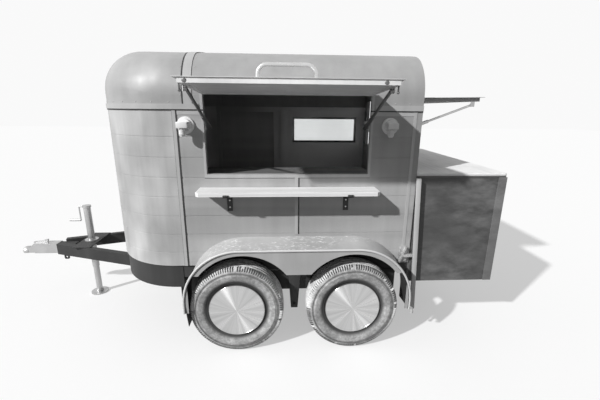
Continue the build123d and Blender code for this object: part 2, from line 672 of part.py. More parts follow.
with BuildPart() as frame_closed:
    with BuildSketch(arch_plane(skin_inner)):
        upright_face(frame_fore, frame_aft, frame_low, frame_high)
        with Locations((hinge_mid, (frame_low + frame_high) / 2)):
            Rectangle((frame_aft - frame_fore) - 2 * frame_width, (frame_high - frame_low) - 2 * frame_width,
                      mode=Mode.SUBTRACT)
            Rectangle(frame_width, frame_high - frame_low)
    extrude(amount=-frame_depth)
    lap = frame_width / 2
    with BuildSketch(arch_plane(skin_inner + frame_depth - liner_set - liner_skin)):
        upright_face(frame_fore + lap, frame_aft - lap, frame_low + lap, frame_high - lap)
    extrude(amount=-liner_skin)
    for edge, inward in ((frame_fore, 1), (frame_aft, -1)):
        lug = sorted((edge, edge + inward * lug_skin))
        block((lug[0], skin_inner + frame_depth, hatch_eye_z - lug_half),
              (lug[1], hatch_eye_y + lug_round, hatch_eye_z + lug_half))
        root = edge + inward * lug_skin
        tip = edge + inward * (stay_inset - running_gap - eye_width / 2 - fit_gap)
        rod((root, hatch_eye_y, hatch_eye_z), (tip, hatch_eye_y, hatch_eye_z), stud_radius)

with BuildPart() as skin_closed:
    with BuildSketch(arch_plane(skin_inner)):
        skin_high = hatch_axis_z - barrel_radius - 2
        upright_face(frame_fore - flange, frame_aft + flange, frame_low - flange, skin_high)
    extrude(amount=skin)
    for i in range(1, knuckle_count, 2):
        x = hinge_mid + (i - knuckle_count / 2) * knuckle
        start, end = x + 1, x + knuckle - 1
        rod((start, hatch_axis_y, hatch_axis_z), (end, hatch_axis_y, hatch_axis_z), barrel_radius)
        block((start, hatch_axis_y, skin_high - 1), (end, skin_inner, hatch_axis_z - 1))
        rod((x, hatch_axis_y, hatch_axis_z), (x + knuckle, hatch_axis_y, hatch_axis_z), pin_radius + pin_gap,
            mode=Mode.SUBTRACT)

with BuildPart() as grab_closed:
    foot_y, grab_y = skin_inner - skin, skin_inner - skin - grab_stand
    grab_z = frame_low + 55
    with BuildLine() as grab_path:
        FilletPolyline((grab_fore, foot_y, grab_z), (grab_fore, grab_y, grab_z), (grab_aft, grab_y, grab_z),
                       (grab_aft, foot_y, grab_z), radius=28)
    with BuildSketch(Plane(origin=grab_path.line @ 0, z_dir=grab_path.line % 0)):
        Circle(grab_radius)
    sweep(path=grab_path.line)

hatch_pieces = {"hatch_frame": frame_closed, "hatch_skin": skin_closed, "hatch_grab_tube": grab_closed}
for label, closed in hatch_pieces.items():
    with BuildPart() as opened:
        add(closed.part.rotate(hatch_pivot, -hatch_open))
    pieces[label] = opened

with BuildPart() as hatch_hinge:
    for i in range(0, knuckle_count, 2):
        x = hinge_mid + (i - knuckle_count / 2) * knuckle
        rod((x + 1, hatch_axis_y, hatch_axis_z), (x + knuckle - 1, hatch_axis_y, hatch_axis_z), barrel_radius)
    ends = (hinge_mid - knuckle_count * knuckle / 2 + 1, hinge_mid + knuckle_count * knuckle / 2 - 1)
    rod((ends[0], hatch_axis_y, hatch_axis_z), (ends[1], hatch_axis_y, hatch_axis_z), pin_radius)
    leaf_low, leaf_high = hatch_axis_z + leaf_rise, hatch_axis_z + leaf_rise + leaf_skin
    block((ends[0], hatch_axis_y, leaf_low), (ends[1], near + 2, leaf_high))
    for i in range(0, knuckle_count, 2):
        x = hinge_mid + (i - knuckle_count / 2) * knuckle
        block((x + 1, hatch_axis_y - 2, hatch_axis_z + 3), (x + knuckle - 1, hatch_axis_y + 2, leaf_high))
    add(outer_form, mode=Mode.SUBTRACT)


def swung(y, z, angle):
    """Where a point of the closed hatch goes when the hatch is swung by an angle."""
    dy, dz = y - hatch_axis_y, z - hatch_axis_z
    turn = radians(-angle)
    return hatch_axis_y + dy * cos(turn) - dz * sin(turn), hatch_axis_z + dy * sin(turn) + dz * cos(turn)


# Stays: a tube that turns on a stud in the jamb, and a rod that slides through it
eye_open = swung(hatch_eye_y, hatch_eye_z, hatch_open)
stay_run = Vector(0, eye_open[0] - stay_pivot_y, eye_open[1] - stay_pivot_z)
stay_dir = stay_run.normalized()
stay_closed = hypot(hatch_eye_y - stay_pivot_y, hatch_eye_z - stay_pivot_z)
stay_turn = degrees(atan2(stay_dir.Z, -stay_dir.Y)
                    - atan2(hatch_eye_z - stay_pivot_z, stay_pivot_y - hatch_eye_y))
rod_grip = 70  # rod left in the tube when the hatch is open
tube_tail = 20  # tube beyond its stud
boss_skin = 5
print("hatch stay: open", round(stay_run.length, 2), "closed", round(stay_closed, 2),
      "turn", round(stay_turn, 3), "direction", [round(v, 5) for v in tuple(stay_dir)])


def sliding_stay(pivot, run, closed, inward, radius, bore):
    """A tube that turns on a stud at the pivot, and the rod that slides through it."""
    way = run.normalized()
    length = closed - eye_disc - running_gap
    boss = pivot - inward * (radius + running_gap)
    with BuildPart() as tube:
        rod(pivot - way * tube_tail, pivot + way * length, radius)
        rod(boss, pivot, stud_radius + boss_skin)
        rod(pivot - way * (tube_tail + 1), pivot + way * (length + 1), bore + fit_gap, mode=Mode.SUBTRACT)
        rod(boss - inward, pivot - inward * (radius - 2), stud_radius + pin_gap, mode=Mode.SUBTRACT)
    head = pivot + run
    with BuildPart() as slider:
        rod(pivot + way * (length - rod_grip), head - way * (eye_disc - 3), bore)
        rod(head - inward * (eye_width / 2), head + inward * (eye_width / 2), eye_disc)
    return tube, slider


for end_name, edge, inward in (("fore", hatch_fore, 1), ("aft", hatch_aft, -1)):
    pivot = Vector(edge + inward * stay_inset, stay_pivot_y, stay_pivot_z)
    stay_tube, stay_rod = sliding_stay(pivot, stay_run, stay_closed, Vector(inward, 0, 0),
                                       tube_radius, rod_radius)
    pieces[f"hatch_stay_tube_{end_name}"] = stay_tube
    pieces[f"hatch_stay_rod_{end_name}"] = stay_rod

with BuildPart() as stay_brackets:
    for edge, inward in ((hatch_fore, 1), (hatch_aft, -1)):
        lining = near + wall
        plate = sorted((edge - inward * foot_reach, edge + inward * foot_lip))
        block((plate[0], lining, stay_pivot_z - foot_half),
              (plate[1], lining + foot_skin, stay_pivot_z + foot_half))
        lug = sorted((edge - inward * 2, edge + inward * foot_lip))
        block((lug[0], lining, stay_pivot_z - 16), (lug[1], stay_pivot_y + lug_half, stay_pivot_z + 16))
        rod((edge + inward * foot_lip, stay_pivot_y, stay_pivot_z),
            (edge + inward * (stay_inset - tube_radius + 1), stay_pivot_y, stay_pivot_z), stud_radius)

# ---- rear hatch, hinged at its top edge --------------------------------------------------
rear_axis_x, rear_axis_z = rear_x + axis_stand, rear_high + axis_rise
rear_hatch_open = 91
rear_pivot = Axis((rear_axis_x, 0, rear_axis_z), (0, 1, 0))
rear_knuckle, rear_knuckle_count = 120, 9
rear_eye_drop, rear_pivot_drop = 401, 219
rear_eye_x, rear_eye_z = rear_x - 46, rear_axis_z - rear_eye_drop
rear_stay_x, rear_stay_z = rear_x - 44, rear_high - rear_pivot_drop
rear_plate = (half_width - wall - rear_half_opening) / 2 - 5  # from the opening's edge outwards
rear_skin_inner = rear_x + seal
rear_half = rear_half_opening - running_gap
rear_tube_radius, rear_rod_radius = 12, 8


def cross_plane(x):
    """Upright plane across the trailer, with local X to the far side."""
    return Plane(origin=(x, 0, 0), x_dir=(0, 1, 0), z_dir=(1, 0, 0))


with BuildPart() as rear_frame_closed:
    low, high = rear_low + running_gap, rear_high - running_gap
    with BuildSketch(cross_plane(rear_skin_inner)):
        with Locations((0, (low + high) / 2)):
            Rectangle(2 * rear_half, high - low)
            Rectangle(2 * (rear_half - frame_width), high - low - 2 * frame_width, mode=Mode.SUBTRACT)
            Rectangle(frame_width, high - low)
    extrude(amount=-frame_depth)
    with BuildSketch(cross_plane(rear_skin_inner - frame_depth + liner_set + liner_skin)):
        with Locations((0, (low + high) / 2)):
            Rectangle(2 * rear_half - frame_width, high - low - frame_width)
    extrude(amount=-liner_skin)
    skin_low, skin_high = low - flange, rear_axis_z - barrel_radius - 2
    with BuildSketch(cross_plane(rear_skin_inner)):
        with Locations((0, (skin_low + skin_high) / 2)):
            Rectangle(2 * (rear_half + flange), skin_high - skin_low)
    extrude(amount=skin)
    for side in (-1, 1):
        lug = sorted((side * rear_half, side * (rear_half - lug_skin)))
        block((rear_eye_x - lug_round, lug[0], rear_eye_z - lug_half),
              (rear_skin_inner - frame_depth, lug[1], rear_eye_z + lug_half))
        root = side * (rear_half - lug_skin)
        tip = side * (rear_half_opening - stay_inset + running_gap + eye_width / 2 + fit_gap)
        rod((rear_eye_x, root, rear_eye_z), (rear_eye_x, tip, rear_eye_z), stud_radius)
    for i in range(1, rear_knuckle_count, 2):
        y = (i - rear_knuckle_count / 2) * rear_knuckle
        start, end = y + 1, y + rear_knuckle - 1
        rod((rear_axis_x, start, rear_axis_z), (rear_axis_x, end, rear_axis_z), barrel_radius)
        block((rear_skin_inner, start, skin_high - 1), (rear_axis_x, end, rear_axis_z - 1))
        rod((rear_axis_x, y, rear_axis_z), (rear_axis_x, y + rear_knuckle, rear_axis_z), pin_radius + pin_gap,
            mode=Mode.SUBTRACT)
with BuildPart() as rear_hatch:
    add(rear_frame_closed.part.rotate(rear_pivot, -rear_hatch_open))

with BuildPart() as rear_hinge:
    half = rear_knuckle_count * rear_knuckle / 2 - 1
    rod((rear_axis_x, -half, rear_axis_z), (rear_axis_x, half, rear_axis_z), pin_radius)
    leaf_low, leaf_high = rear_axis_z + leaf_rise, rear_axis_z + leaf_rise + leaf_skin
    block((rear_x, -half, leaf_low), (rear_axis_x, half, leaf_high))
    for i in range(0, rear_knuckle_count, 2):
        y = (i - rear_knuckle_count / 2) * rear_knuckle
        start, end = y + 1, y + rear_knuckle - 1
        rod((rear_axis_x, start, rear_axis_z), (rear_axis_x, end, rear_axis_z), barrel_radius)
        block((rear_axis_x - 2, start, rear_axis_z + 3), (rear_axis_x + 2, end, leaf_high))

rear_turn = radians(-rear_hatch_open)
dx, dz = rear_eye_x - rear_axis_x, rear_eye_z - rear_axis_z
rear_eye_open = Vector(rear_axis_x + dx * cos(rear_turn) + dz * sin(rear_turn), 0,
                       rear_axis_z - dx * sin(rear_turn) + dz * cos(rear_turn))
rear_run = rear_eye_open - Vector(rear_stay_x, 0, rear_stay_z)
rear_dir = rear_run.normalized()
rear_closed = hypot(rear_eye_x - rear_stay_x, rear_eye_z - rear_stay_z)
rear_stay_turn = degrees(atan2(rear_dir.Z, rear_dir.X)
                         - atan2(rear_eye_z - rear_stay_z, rear_eye_x - rear_stay_x))
print("rear stay: open", round(rear_run.length, 2), "closed", round(rear_closed, 2),
      "turn", round(rear_stay_turn, 3), "direction", [round(v, 5) for v in tuple(rear_dir)])

for side_name, side in (("near", -1), ("far", 1)):
    pivot = Vector(rear_stay_x, side * (rear_half_opening - stay_inset), rear_stay_z)
    stay_tube, stay_rod = sliding_stay(pivot, rear_run, rear_closed, Vector(0, -side, 0),
                                       rear_tube_radius, rear_rod_radius)
    pieces[f"rear_stay_tube_{side_name}"] = stay_tube
    pieces[f"rear_stay_rod_{side_name}"] = stay_rod

with BuildPart() as rear_stay_brackets:
    for side in (-1, 1):
        lining = rear_x - wall
        edge = side * rear_half_opening
        plate = sorted((edge + side * rear_plate, edge - side * foot_lip))
        block((lining - foot_skin, plate[0], rear_stay_z - foot_half),
              (lining, plate[1], rear_stay_z + foot_half))
        lug = sorted((edge + side * 2, edge - side * foot_lip))
        block((rear_stay_x - lug_half, lug[0], rear_stay_z - 16), (lining, lug[1], rear_stay_z + 16))
        rod((rear_stay_x, edge - side * foot_lip, rear_stay_z),
            (rear_stay_x, edge - side * (stay_inset - rear_tube_radius + 1), rear_stay_z), stud_radius)

# ---- frame round the serving opening, shelf and worktop ------------------------------------
shelf_fore, shelf_aft = hatch_fore - 54, hatch_aft + 56
shelf_drop, shelf_thickness, shelf_depth = 92, 28, 170
shelf_top = hatch_low - shelf_drop
shelf_under = shelf_top - shelf_thickness
with BuildPart() as serving_shelf:
    block((shelf_fore, near - shelf_depth, shelf_under), (shelf_aft, near - strip_stand, shelf_top))
    chamfer(serving_shelf.edges().filter_by(Axis.Z).group_by(Axis.Y)[0], 22)
    fillet(serving_shelf.edges().group_by(Axis.Z)[-1], 2.5)

bracket_arm, bracket_leg, bracket_width, bracket_skin = 140, 105, 32, 5
bracket_xs = (shelf_fore + 215, shelf_aft - 239)
gusset_drop, gusset_reach, gusset_width, gusset_lap = 70, 90, 5, 4
with BuildPart() as shelf_brackets:
    for x in bracket_xs:
        with BuildSketch(Plane.YZ.offset(x - bracket_width / 2)):
            with BuildLine():
                face, foot = near - bracket_skin, shelf_under - bracket_leg
                tip, arm_under = near - bracket_arm, shelf_under - bracket_skin
                Polyline((near, shelf_under), (near, foot), (face, foot), (face, arm_under), (tip, arm_under),
                         (tip, shelf_under), close=True)
            make_face()
        extrude(amount=bracket_width)
        with BuildSketch(Plane.YZ.offset(x - gusset_width / 2)):
            with BuildLine():
                root, lap_z = near - gusset_lap, shelf_under - gusset_lap
                Polyline((root, shelf_under - gusset_drop), (near - gusset_reach, lap_z), (root, lap_z),
                         close=True)
            make_face()
        extrude(amount=gusset_width)

worktop_depth, worktop_thickness, worktop_drop = 320, 28, 12
worktop_top = hatch_low - worktop_drop
with BuildPart() as worktop:
    block((hatch_fore - 94, near + wall, worktop_top - worktop_thickness),
          (hatch_aft + 47, near + wall + worktop_depth, worktop_top))
    fillet(worktop.edges().filter_by(Axis.Z).group_by(Axis.Y)[-1], 30)

# ---- lamps on the near side ------------------------------------------------------------------
lamp_xs = (hatch_fore - 120, hatch_aft + 135)
lamp_z = belt_z - 130
lamp_base, lamp_step, lamp_neck = 57, 16, 43
hood_fore, hood_aft, hood_front, hood_rise, hood_drop = 30, 32, 96, 20, 18
jar_radius, jar_height, jar_set = 22, 58, 62
with BuildPart() as wall_lamps:
    for x in lamp_xs:
        with BuildSketch(Plane.XY.offset(lamp_z)):
            with BuildLine():
                rim_x, step_y, neck_y = x + lamp_base, near - lamp_step, near - 2 * lamp_step
                Polyline((x, near), (rim_x, near), (rim_x, step_y + 6))
                ThreePointArc((rim_x, step_y + 6), (rim_x - 2, step_y + 2), (rim_x - 6, step_y))
                Polyline((rim_x - 6, step_y), (x + lamp_neck, step_y), (x + lamp_neck - 5, neck_y),
                         (x, neck_y), (x, near))
            make_face()
        revolve(axis=Axis((x, 0, lamp_z), (0, 1, 0)))
    for x in lamp_xs:
        with BuildSketch(arch_plane(near - 2 * lamp_step + 2)):
            with Locations((x + (hood_aft - hood_fore) / 2, lamp_z + (hood_rise - hood_drop) / 2)):
                RectangleRounded(hood_fore + hood_aft, hood_rise + hood_drop, 6)
        extrude(amount=hood_front - 2 * lamp_step + 2)
        jar_y, jar_top = near - jar_set, lamp_z - hood_drop + 2
        jar_low = jar_top - jar_height
        rod((x, jar_y, jar_low + 8), (x, jar_y, jar_top), jar_radius)
        rod((x, jar_y, jar_low), (x, jar_y, jar_low + 9), jar_radius * 0.6)

# ---- window and door in the far side -----------------------------------------------------------
glass = 5
window_bezel = 22
window_middle = ((window_fore + window_aft) / 2, (window_low + window_high) / 2)
window_sight = (window_length - 2 * window_bezel, window_height - 2 * window_bezel)
with BuildPart() as window_frame:
    with BuildSketch(Plane.XZ.offset(-half_width - 6)):
        with Locations(window_middle):
            RectangleRounded(window_length + 2 * window_bezel, window_height + 2 * window_bezel, 30)
            Rectangle(*window_sight, mode=Mode.SUBTRACT)
    extrude(amount=6)
    with BuildSketch(Plane.XZ.offset(-half_width)):
        with Locations(window_middle):
            Rectangle(window_length - 2, window_height - 2)
            Rectangle(*window_sight, mode=Mode.SUBTRACT)
    extrude(amount=wall / 2)
with BuildPart() as window_glass:
    block((window_fore + 2, half_width - wall / 2 - glass, window_low + 2),
          (window_aft - 2, half_width - wall / 2, window_high - 2))

door_axis_x, door_axis_y = door_fore, half_width + 9
door_zs = (door_low + 110, door_high - 200)  # feet of the hinges
door_knuckle, door_barrel, door_pin = 30, 6, 3
press_border, press_width, press_stand = 70, 10, 3  # raised bead pressed round the door's sheet
handle_x, handle_stand, handle_half = door_aft - 60, 34, 9
with BuildPart() as access_door:
    block((door_fore + running_gap, inner + 2, door_low + running_gap),
          (door_aft - running_gap, far, door_high - running_gap))
    fillet(access_door.edges().filter_by(Axis.Y), 14)
    bead_length, bead_height = door_width - 2 * press_border, door_height - 2 * press_border - 20
    with BuildSketch(Plane.XZ.offset(-far)):
        with Locations(door_middle):
            RectangleRounded(bead_length, bead_height, 30)
            RectangleRounded(bead_length - 2 * press_width, bead_height - 2 * press_width, 22,
                             mode=Mode.SUBTRACT)
    extrude(amount=-press_stand)
    for foot in door_zs:
        low, high = foot + door_knuckle + 1, foot + 2 * door_knuckle - 1
        rod((door_axis_x, door_axis_y, low), (door_axis_x, door_axis_y, high), door_barrel)
        block((door_axis_x, door_axis_y - 2, low), (door_axis_x + 60, door_axis_y + 1, high))
        block((door_axis_x + 12, half_width, low), (door_axis_x + 60, door_axis_y, high))
        rod((door_axis_x, door_axis_y, low - 1), (door_axis_x, door_axis_y, high + 1), door_pin + pin_gap,
            mode=Mode.SUBTRACT)
    handle_z = door_middle[1]
    rod((handle_x, half_width, handle_z), (handle_x, half_width + handle_stand, handle_z), handle_half)
    block((handle_x - 70, half_width + handle_stand - 6, handle_z - handle_half),
          (handle_x + handle_half, half_width + handle_stand + 6, handle_z + handle_half))

with BuildPart() as door_hinges:
    for foot in door_zs:
        for low in (foot, foot + 2 * door_knuckle):
            rod((door_axis_x, door_axis_y, low), (door_axis_x, door_axis_y, low + door_knuckle), door_barrel)
            block((door_axis_x - 17, half_width, low), (door_axis_x, door_axis_y + 1, low + door_knuckle))
        rod((door_axis_x, door_axis_y, foot), (door_axis_x, door_axis_y, foot + 3 * door_knuckle), door_pin)

# ---- rear counter and its boards ------------------------------------------------------------------
counter_drop, counter_thickness = 70, 30  # from the rear opening down to the counter's top
counter_top = rear_low - counter_drop
counter_gap, counter_length = 20, 660
counter_fore, counter_aft = rear_x + counter_gap, rear_x + counter_length
board_height, board_skin = 820, 12
board_high = counter_top - counter_thickness
board_low = board_high - board_height
board_inner = half_width - board_skin
post, board_end = 45, 50  # corner posts, and how far from the end a board stops
slab_overhang = 6
with BuildPart() as counter_slab:
    block((rear_x, near - slab_overhang, board_high),
          (counter_aft + 10, half_width + slab_overhang, counter_top))
    fillet(counter_slab.edges().filter_by(Axis.Z).group_by(Axis.X)[-1], 20)
    fillet(counter_slab.edges().group_by(Axis.Z)[-1], 3)

with BuildPart() as counter_frame:
    for side in (-1, 1):
        ys = sorted((side * board_inner, side * (board_inner - post)))
        for x in (rear_x, counter_aft - post):
            block((x, ys[0], board_low), (x + post, ys[1], board_high))
        for z in (board_low, board_high - post):
            block((rear_x + post, ys[0], z), (counter_aft - post, ys[1], z + post))
        ys = sorted((side * (half_width + slab_overhang), side * board_inner))
        block((counter_aft - board_end, ys[0], board_low), (counter_aft + board_skin, ys[1], board_high))
    for z in (board_low, board_high - post):
        for x in (rear_x, counter_aft - post):
            block((x, post - board_inner, z), (x + post, board_inner - post, z + post))

with BuildPart() as chalkboards:
    for side in (-1, 1):
        ys = sorted((side * half_width, side * board_inner))
        block((counter_fore, ys[0], board_low), (counter_aft - board_end, ys[1], board_high))

with BuildPart() as counter_front:
    block((counter_aft, -board_inner, board_low), (counter_aft + board_skin, board_inner, board_high))

# ---- prop bar and its catch at the near rear corner ---------------------------------------------
bar_top, bar_foot = (rear_x - 4, counter_top - 33), (rear_x + 70, ground + 205)
bar_width, bar_depth = 46, 22
bar_tip = 40  # length of the pointed foot
bar_y = near - 36
catch_x, catch_z = corner_strip_x - 20, guard_wall_top - 160
with BuildPart() as prop_bar:
    lean = Vector(bar_foot[0] - bar_top[0], bar_foot[1] - bar_top[1])
    across = Vector(-lean.Y, lean.X).normalized() * (bar_width / 2)
    tip = Vector(*bar_foot)
    shoulder = tip - lean.normalized() * bar_tip
    head = Vector(*bar_top)
    with BuildSketch(Plane.XZ.offset(-bar_y)):
        with BuildLine():
            Polyline(head + across, shoulder + across, tip, shoulder - across, head - across, close=True)
        make_face()
    extrude(amount=bar_depth / 2, both=True)
    plate_face = near - strip_stand
    block((catch_x - 8, plate_face - 9, catch_z - 50), (catch_x + 62, plate_face, catch_z + 62))
    block((catch_x, bar_y - 6, catch_z - 10), (catch_x + 105, plate_face, catch_z + 12))
    rod((catch_x, bar_y + 6, catch_z - 62), (catch_x, bar_y + 6, catch_z + 44), 9)

# ---- names and files ----------------------------------------------------------------------------
with BuildPart() as hinges:
    for leaves in (hatch_hinge, rear_hinge, door_hinges):
        add(leaves.part)
with BuildPart() as stay_studs:
    for brackets in (stay_brackets, rear_stay_brackets):
        add(brackets.part)

pieces.update(
    drawbar=drawbar, coupling=coupling, jack_tube=jack_tube, jack_leg=jack_leg,
    chassis=chassis, nose_apron=nose_apron, floor_deck=floor_deck, suspension=suspension, axles=axles,
    nose_panel=nose_panel, side_near=side_near, side_far=side_far, rear_panel=rear_panel,
    roof_front=roof_front, roof_main=roof_main, belt_moulding=belt_moulding, seam_strips=seam_strips,
    mudguard_near=mudguard_near, mudguard_far=mudguard_far, wheel_boxes=wheel_boxes,
    hinges=hinges, stay_studs=stay_studs, rear_hatch=rear_hatch,
    serving_shelf=serving_shelf, shelf_brackets=shelf_brackets, worktop=worktop, wall_lamps=wall_lamps,
    window_frame=window_frame, window_glass=window_glass, access_door=access_door,
    counter_slab=counter_slab, counter_frame=counter_frame, chalkboards=chalkboards,
    counter_front=counter_front, prop_bar=prop_bar,
)
for label, piece in pieces.items():
    piece.part.label = label
    export_step(piece.part, f"parts/{label}.step")
print(len(pieces), "nodes")
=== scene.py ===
import json
from math import atan2, cos, pi, radians, sin

import bmesh
import bpy
from mathutils import Matrix, Vector


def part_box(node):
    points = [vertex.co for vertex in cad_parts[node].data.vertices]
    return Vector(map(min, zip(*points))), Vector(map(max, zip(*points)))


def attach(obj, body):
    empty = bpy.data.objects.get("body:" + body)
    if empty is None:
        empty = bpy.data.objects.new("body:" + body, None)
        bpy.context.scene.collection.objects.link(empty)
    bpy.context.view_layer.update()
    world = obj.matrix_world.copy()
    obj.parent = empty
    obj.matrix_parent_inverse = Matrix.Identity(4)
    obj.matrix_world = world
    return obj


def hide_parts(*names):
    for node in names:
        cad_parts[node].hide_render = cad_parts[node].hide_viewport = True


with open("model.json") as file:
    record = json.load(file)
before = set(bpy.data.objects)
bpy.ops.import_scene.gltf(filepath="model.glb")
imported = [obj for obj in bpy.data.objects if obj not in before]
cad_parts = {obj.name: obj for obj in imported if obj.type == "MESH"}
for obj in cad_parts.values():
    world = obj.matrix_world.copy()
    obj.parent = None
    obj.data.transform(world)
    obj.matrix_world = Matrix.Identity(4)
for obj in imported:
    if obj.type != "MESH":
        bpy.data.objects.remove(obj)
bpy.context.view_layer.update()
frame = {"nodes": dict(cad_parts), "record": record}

ops = bpy.ops
nodes = frame["nodes"]
slotOf = {part["node"]: part["material_slot"] for part in frame["record"]["subparts"]}
bodyOf = {node: body for body, group in frame["record"]["behaviour"]["bodies"].items() for node in group}
ops.object.select_all(action="DESELECT")

# places read from the frame, in metres
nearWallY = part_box("side_near")[0].y
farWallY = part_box("side_far")[1].y
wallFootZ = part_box("side_near")[0].z
beltLow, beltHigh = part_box("belt_moulding")
skinLow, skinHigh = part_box("hatch_skin")
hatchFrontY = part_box("hatch_frame")[0].y
guardLow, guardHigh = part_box("mudguard_near")
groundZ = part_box("jack_leg")[0].z
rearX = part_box("rear_panel")[1].x
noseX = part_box("nose_panel")[0].x
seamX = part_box("nose_panel")[1].x
print("frame loaded:", len(nodes), "nodes")


# tools that the pieces share

def makeActive(piece):
    ops.object.select_all(action="DESELECT")
    piece.select_set(True)
    bpy.context.view_layer.objects.active = piece


def startEdit(piece):
    makeActive(piece)
    ops.object.mode_set(mode="EDIT")


def stopEdit():
    ops.object.mode_set(mode="OBJECT")


def newPiece(name):  # takes the object that the last operator made
    piece = bpy.context.active_object
    piece.name = name
    piece.data.name = name
    return piece


def settle(piece, smoothAngle=None):  # place and size go into the mesh
    makeActive(piece)
    ops.object.transform_apply(location=True, rotation=True, scale=True)
    if smoothAngle is not None:
        ops.object.shade_smooth_by_angle(angle=radians(smoothAngle))
    ops.object.select_all(action="DESELECT")
    return piece


def finishMesh(piece, smoothAngle):  # doubles merged, faces turned outwards, then settled
    startEdit(piece)
    ops.mesh.select_all(action="SELECT")
    ops.mesh.remove_doubles(threshold=0.00002)
    ops.mesh.normals_make_consistent(inside=False)
    stopEdit()
    settle(piece, smoothAngle)


def applyModifiers(piece):
    makeActive(piece)
    for modifier in list(piece.modifiers):
        ops.object.modifier_apply(modifier=modifier.name)
    return piece


def roundEdges(piece, width, segments):
    bevel = piece.modifiers.new("edges", "BEVEL")
    bevel.width = width
    bevel.segments = segments
    return applyModifiers(piece)


def joinPieces(pieces, name):
    ops.object.select_all(action="DESELECT")
    for piece in pieces:
        piece.select_set(True)
    bpy.context.view_layer.objects.active = pieces[0]
    if len(pieces) > 1:
        ops.object.join()
    return newPiece(name)


def dress(piece, material, body):
    piece.data.materials.clear()
    piece.data.materials.append(material)
    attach(piece, body)


def copyOf(source, name, move):  # a copy with its own mesh, moved by a matrix
    twin = source.copy()
    twin.data = source.data.copy()
    twin.name = name
    bpy.context.scene.collection.objects.link(twin)
    twin.data.transform(move)
    return twin


def selectFaces(piece, test):
    # in edit mode, by each face's middle and normal; a face that fails the test also lets go of the points
    # that it shares with the faces before it, so a lone face does not stay selected
    mesh = bmesh.from_edit_mesh(piece.data)
    for face in mesh.faces:
        face.select_set(bool(test(face.calc_center_median(), face.normal)))
    mesh.select_flush_mode()
    bmesh.update_edit_mesh(piece.data)


def selectPoints(piece, test):  # in edit mode, by each point's place
    mesh = bmesh.from_edit_mesh(piece.data)
    for point in mesh.verts:
        point.select_set(bool(test(point.co)))
    mesh.select_flush_mode()
    bmesh.update_edit_mesh(piece.data)


def extrudeBy(*step):  # in edit mode, what is selected
    ops.mesh.extrude_region_move(TRANSFORM_OT_translate={"value": step})


def turnedPiece(name, centre, profile, segments, fill="NGON"):
    # rings of (radius, y) about the Y axis through the centre, the first one closed by a face
    centreX, centreY, centreZ = centre
    firstRadius, firstY = profile[0]
    ops.mesh.primitive_circle_add(vertices=segments, radius=firstRadius, rotation=(pi / 2, 0, 0),
                                  fill_type=fill, location=(centreX, centreY + firstY, centreZ))
    piece = settle(newPiece(name))
    startEdit(piece)
    ops.mesh.select_all(action="SELECT")
    for (radius, y), (nextRadius, nextY) in zip(profile, profile[1:]):
        extrudeBy(0, nextY - y, 0)
        share = nextRadius / radius
        ops.transform.resize(value=(share, 1, share), center_override=(centreX, centreY + nextY, centreZ))
    stopEdit()
    return piece


barEdges = {"width": 0.0009, "segments": 2}


def straightBar(name, low, high):  # a bar, strip or plate with rounded edges, from corner to corner
    middle = (Vector(low) + Vector(high)) / 2
    ops.mesh.primitive_cube_add(size=1, location=middle, scale=Vector(high) - Vector(low))
    return roundEdges(settle(newPiece(name)), **barEdges)


# materials: each one reads Object coordinates

def grey(tone):
    return (tone, tone, tone)


def startMaterial(name, colour, roughness, metallic=0.0, **sockets):
    material = bpy.data.materials.new(name)
    material.use_nodes = True
    shader = material.node_tree.nodes["Principled BSDF"]
    shader.inputs["Base Color"].default_value = (*colour, 1)
    shader.inputs["Roughness"].default_value = roughness
    shader.inputs["Metallic"].default_value = metallic
    for socket, value in sockets.items():
        shader.inputs[socket.replace("_", " ")].default_value = value
    return material, material.node_tree, shader


def setInput(tree, socket, value):  # a link when the value is another node's output
    if isinstance(value, bpy.types.NodeSocket):
        tree.links.new(value, socket)
    else:
        socket.default_value = value


def addNode(tree, kind, inputs=None, **settings):
    made = tree.nodes.new(kind)
    for setting, value in settings.items():
        setattr(made, setting, value)
    for socket, value in (inputs or {}).items():
        setInput(tree, made.inputs[socket], value)
    return made


def objectPlace(tree, stretch=(1, 1, 1), shift=(0, 0, 0), turn=(0, 0, 0)):
    coordinates = addNode(tree, "ShaderNodeTexCoord")
    return addNode(tree, "ShaderNodeMapping", {"Vector": coordinates.outputs["Object"], "Scale": stretch,
                                               "Location": shift, "Rotation": turn}).outputs["Vector"]


def axesOf(tree, place):
    return addNode(tree, "ShaderNodeSeparateXYZ", {0: place}).outputs


def facingOf(tree):
    return addNode(tree, "ShaderNodeTexCoord").outputs["Normal"]


def lengthOf(tree, place):
    return addNode(tree, "ShaderNodeVectorMath", {0: place}, operation="LENGTH").outputs["Value"]


def noiseOf(tree, place, scale, detail=3.0, roughness=0.5):
    return addNode(tree, "ShaderNodeTexNoise", {"Vector": place, "Scale": scale, "Detail": detail,
                                                "Roughness": roughness}).outputs["Fac"]


def rangeOf(tree, value, fromLow, fromHigh, toLow=0.0, toHigh=1.0):
    return addNode(tree, "ShaderNodeMapRange", {"Value": value, "From Min": fromLow, "From Max": fromHigh,
                                                "To Min": toLow, "To Max": toHigh}).outputs["Result"]


def spreadOf(tree, noise, toLow, toHigh):  # most of a noise lies between 0.3 and 0.7
    return rangeOf(tree, noise, 0.3, 0.7, toLow, toHigh)


def aroundOne(tree, noise, amount):
    return spreadOf(tree, noise, 1 - amount, 1 + amount)


def mathOf(tree, operation, first, second=0.0):
    return addNode(tree, "ShaderNodeMath", {0: first, 1: second}, operation=operation).outputs[0]


def productOf(tree, first, *others):
    for value in others:
        first = mathOf(tree, "MULTIPLY", first, value)
    return first


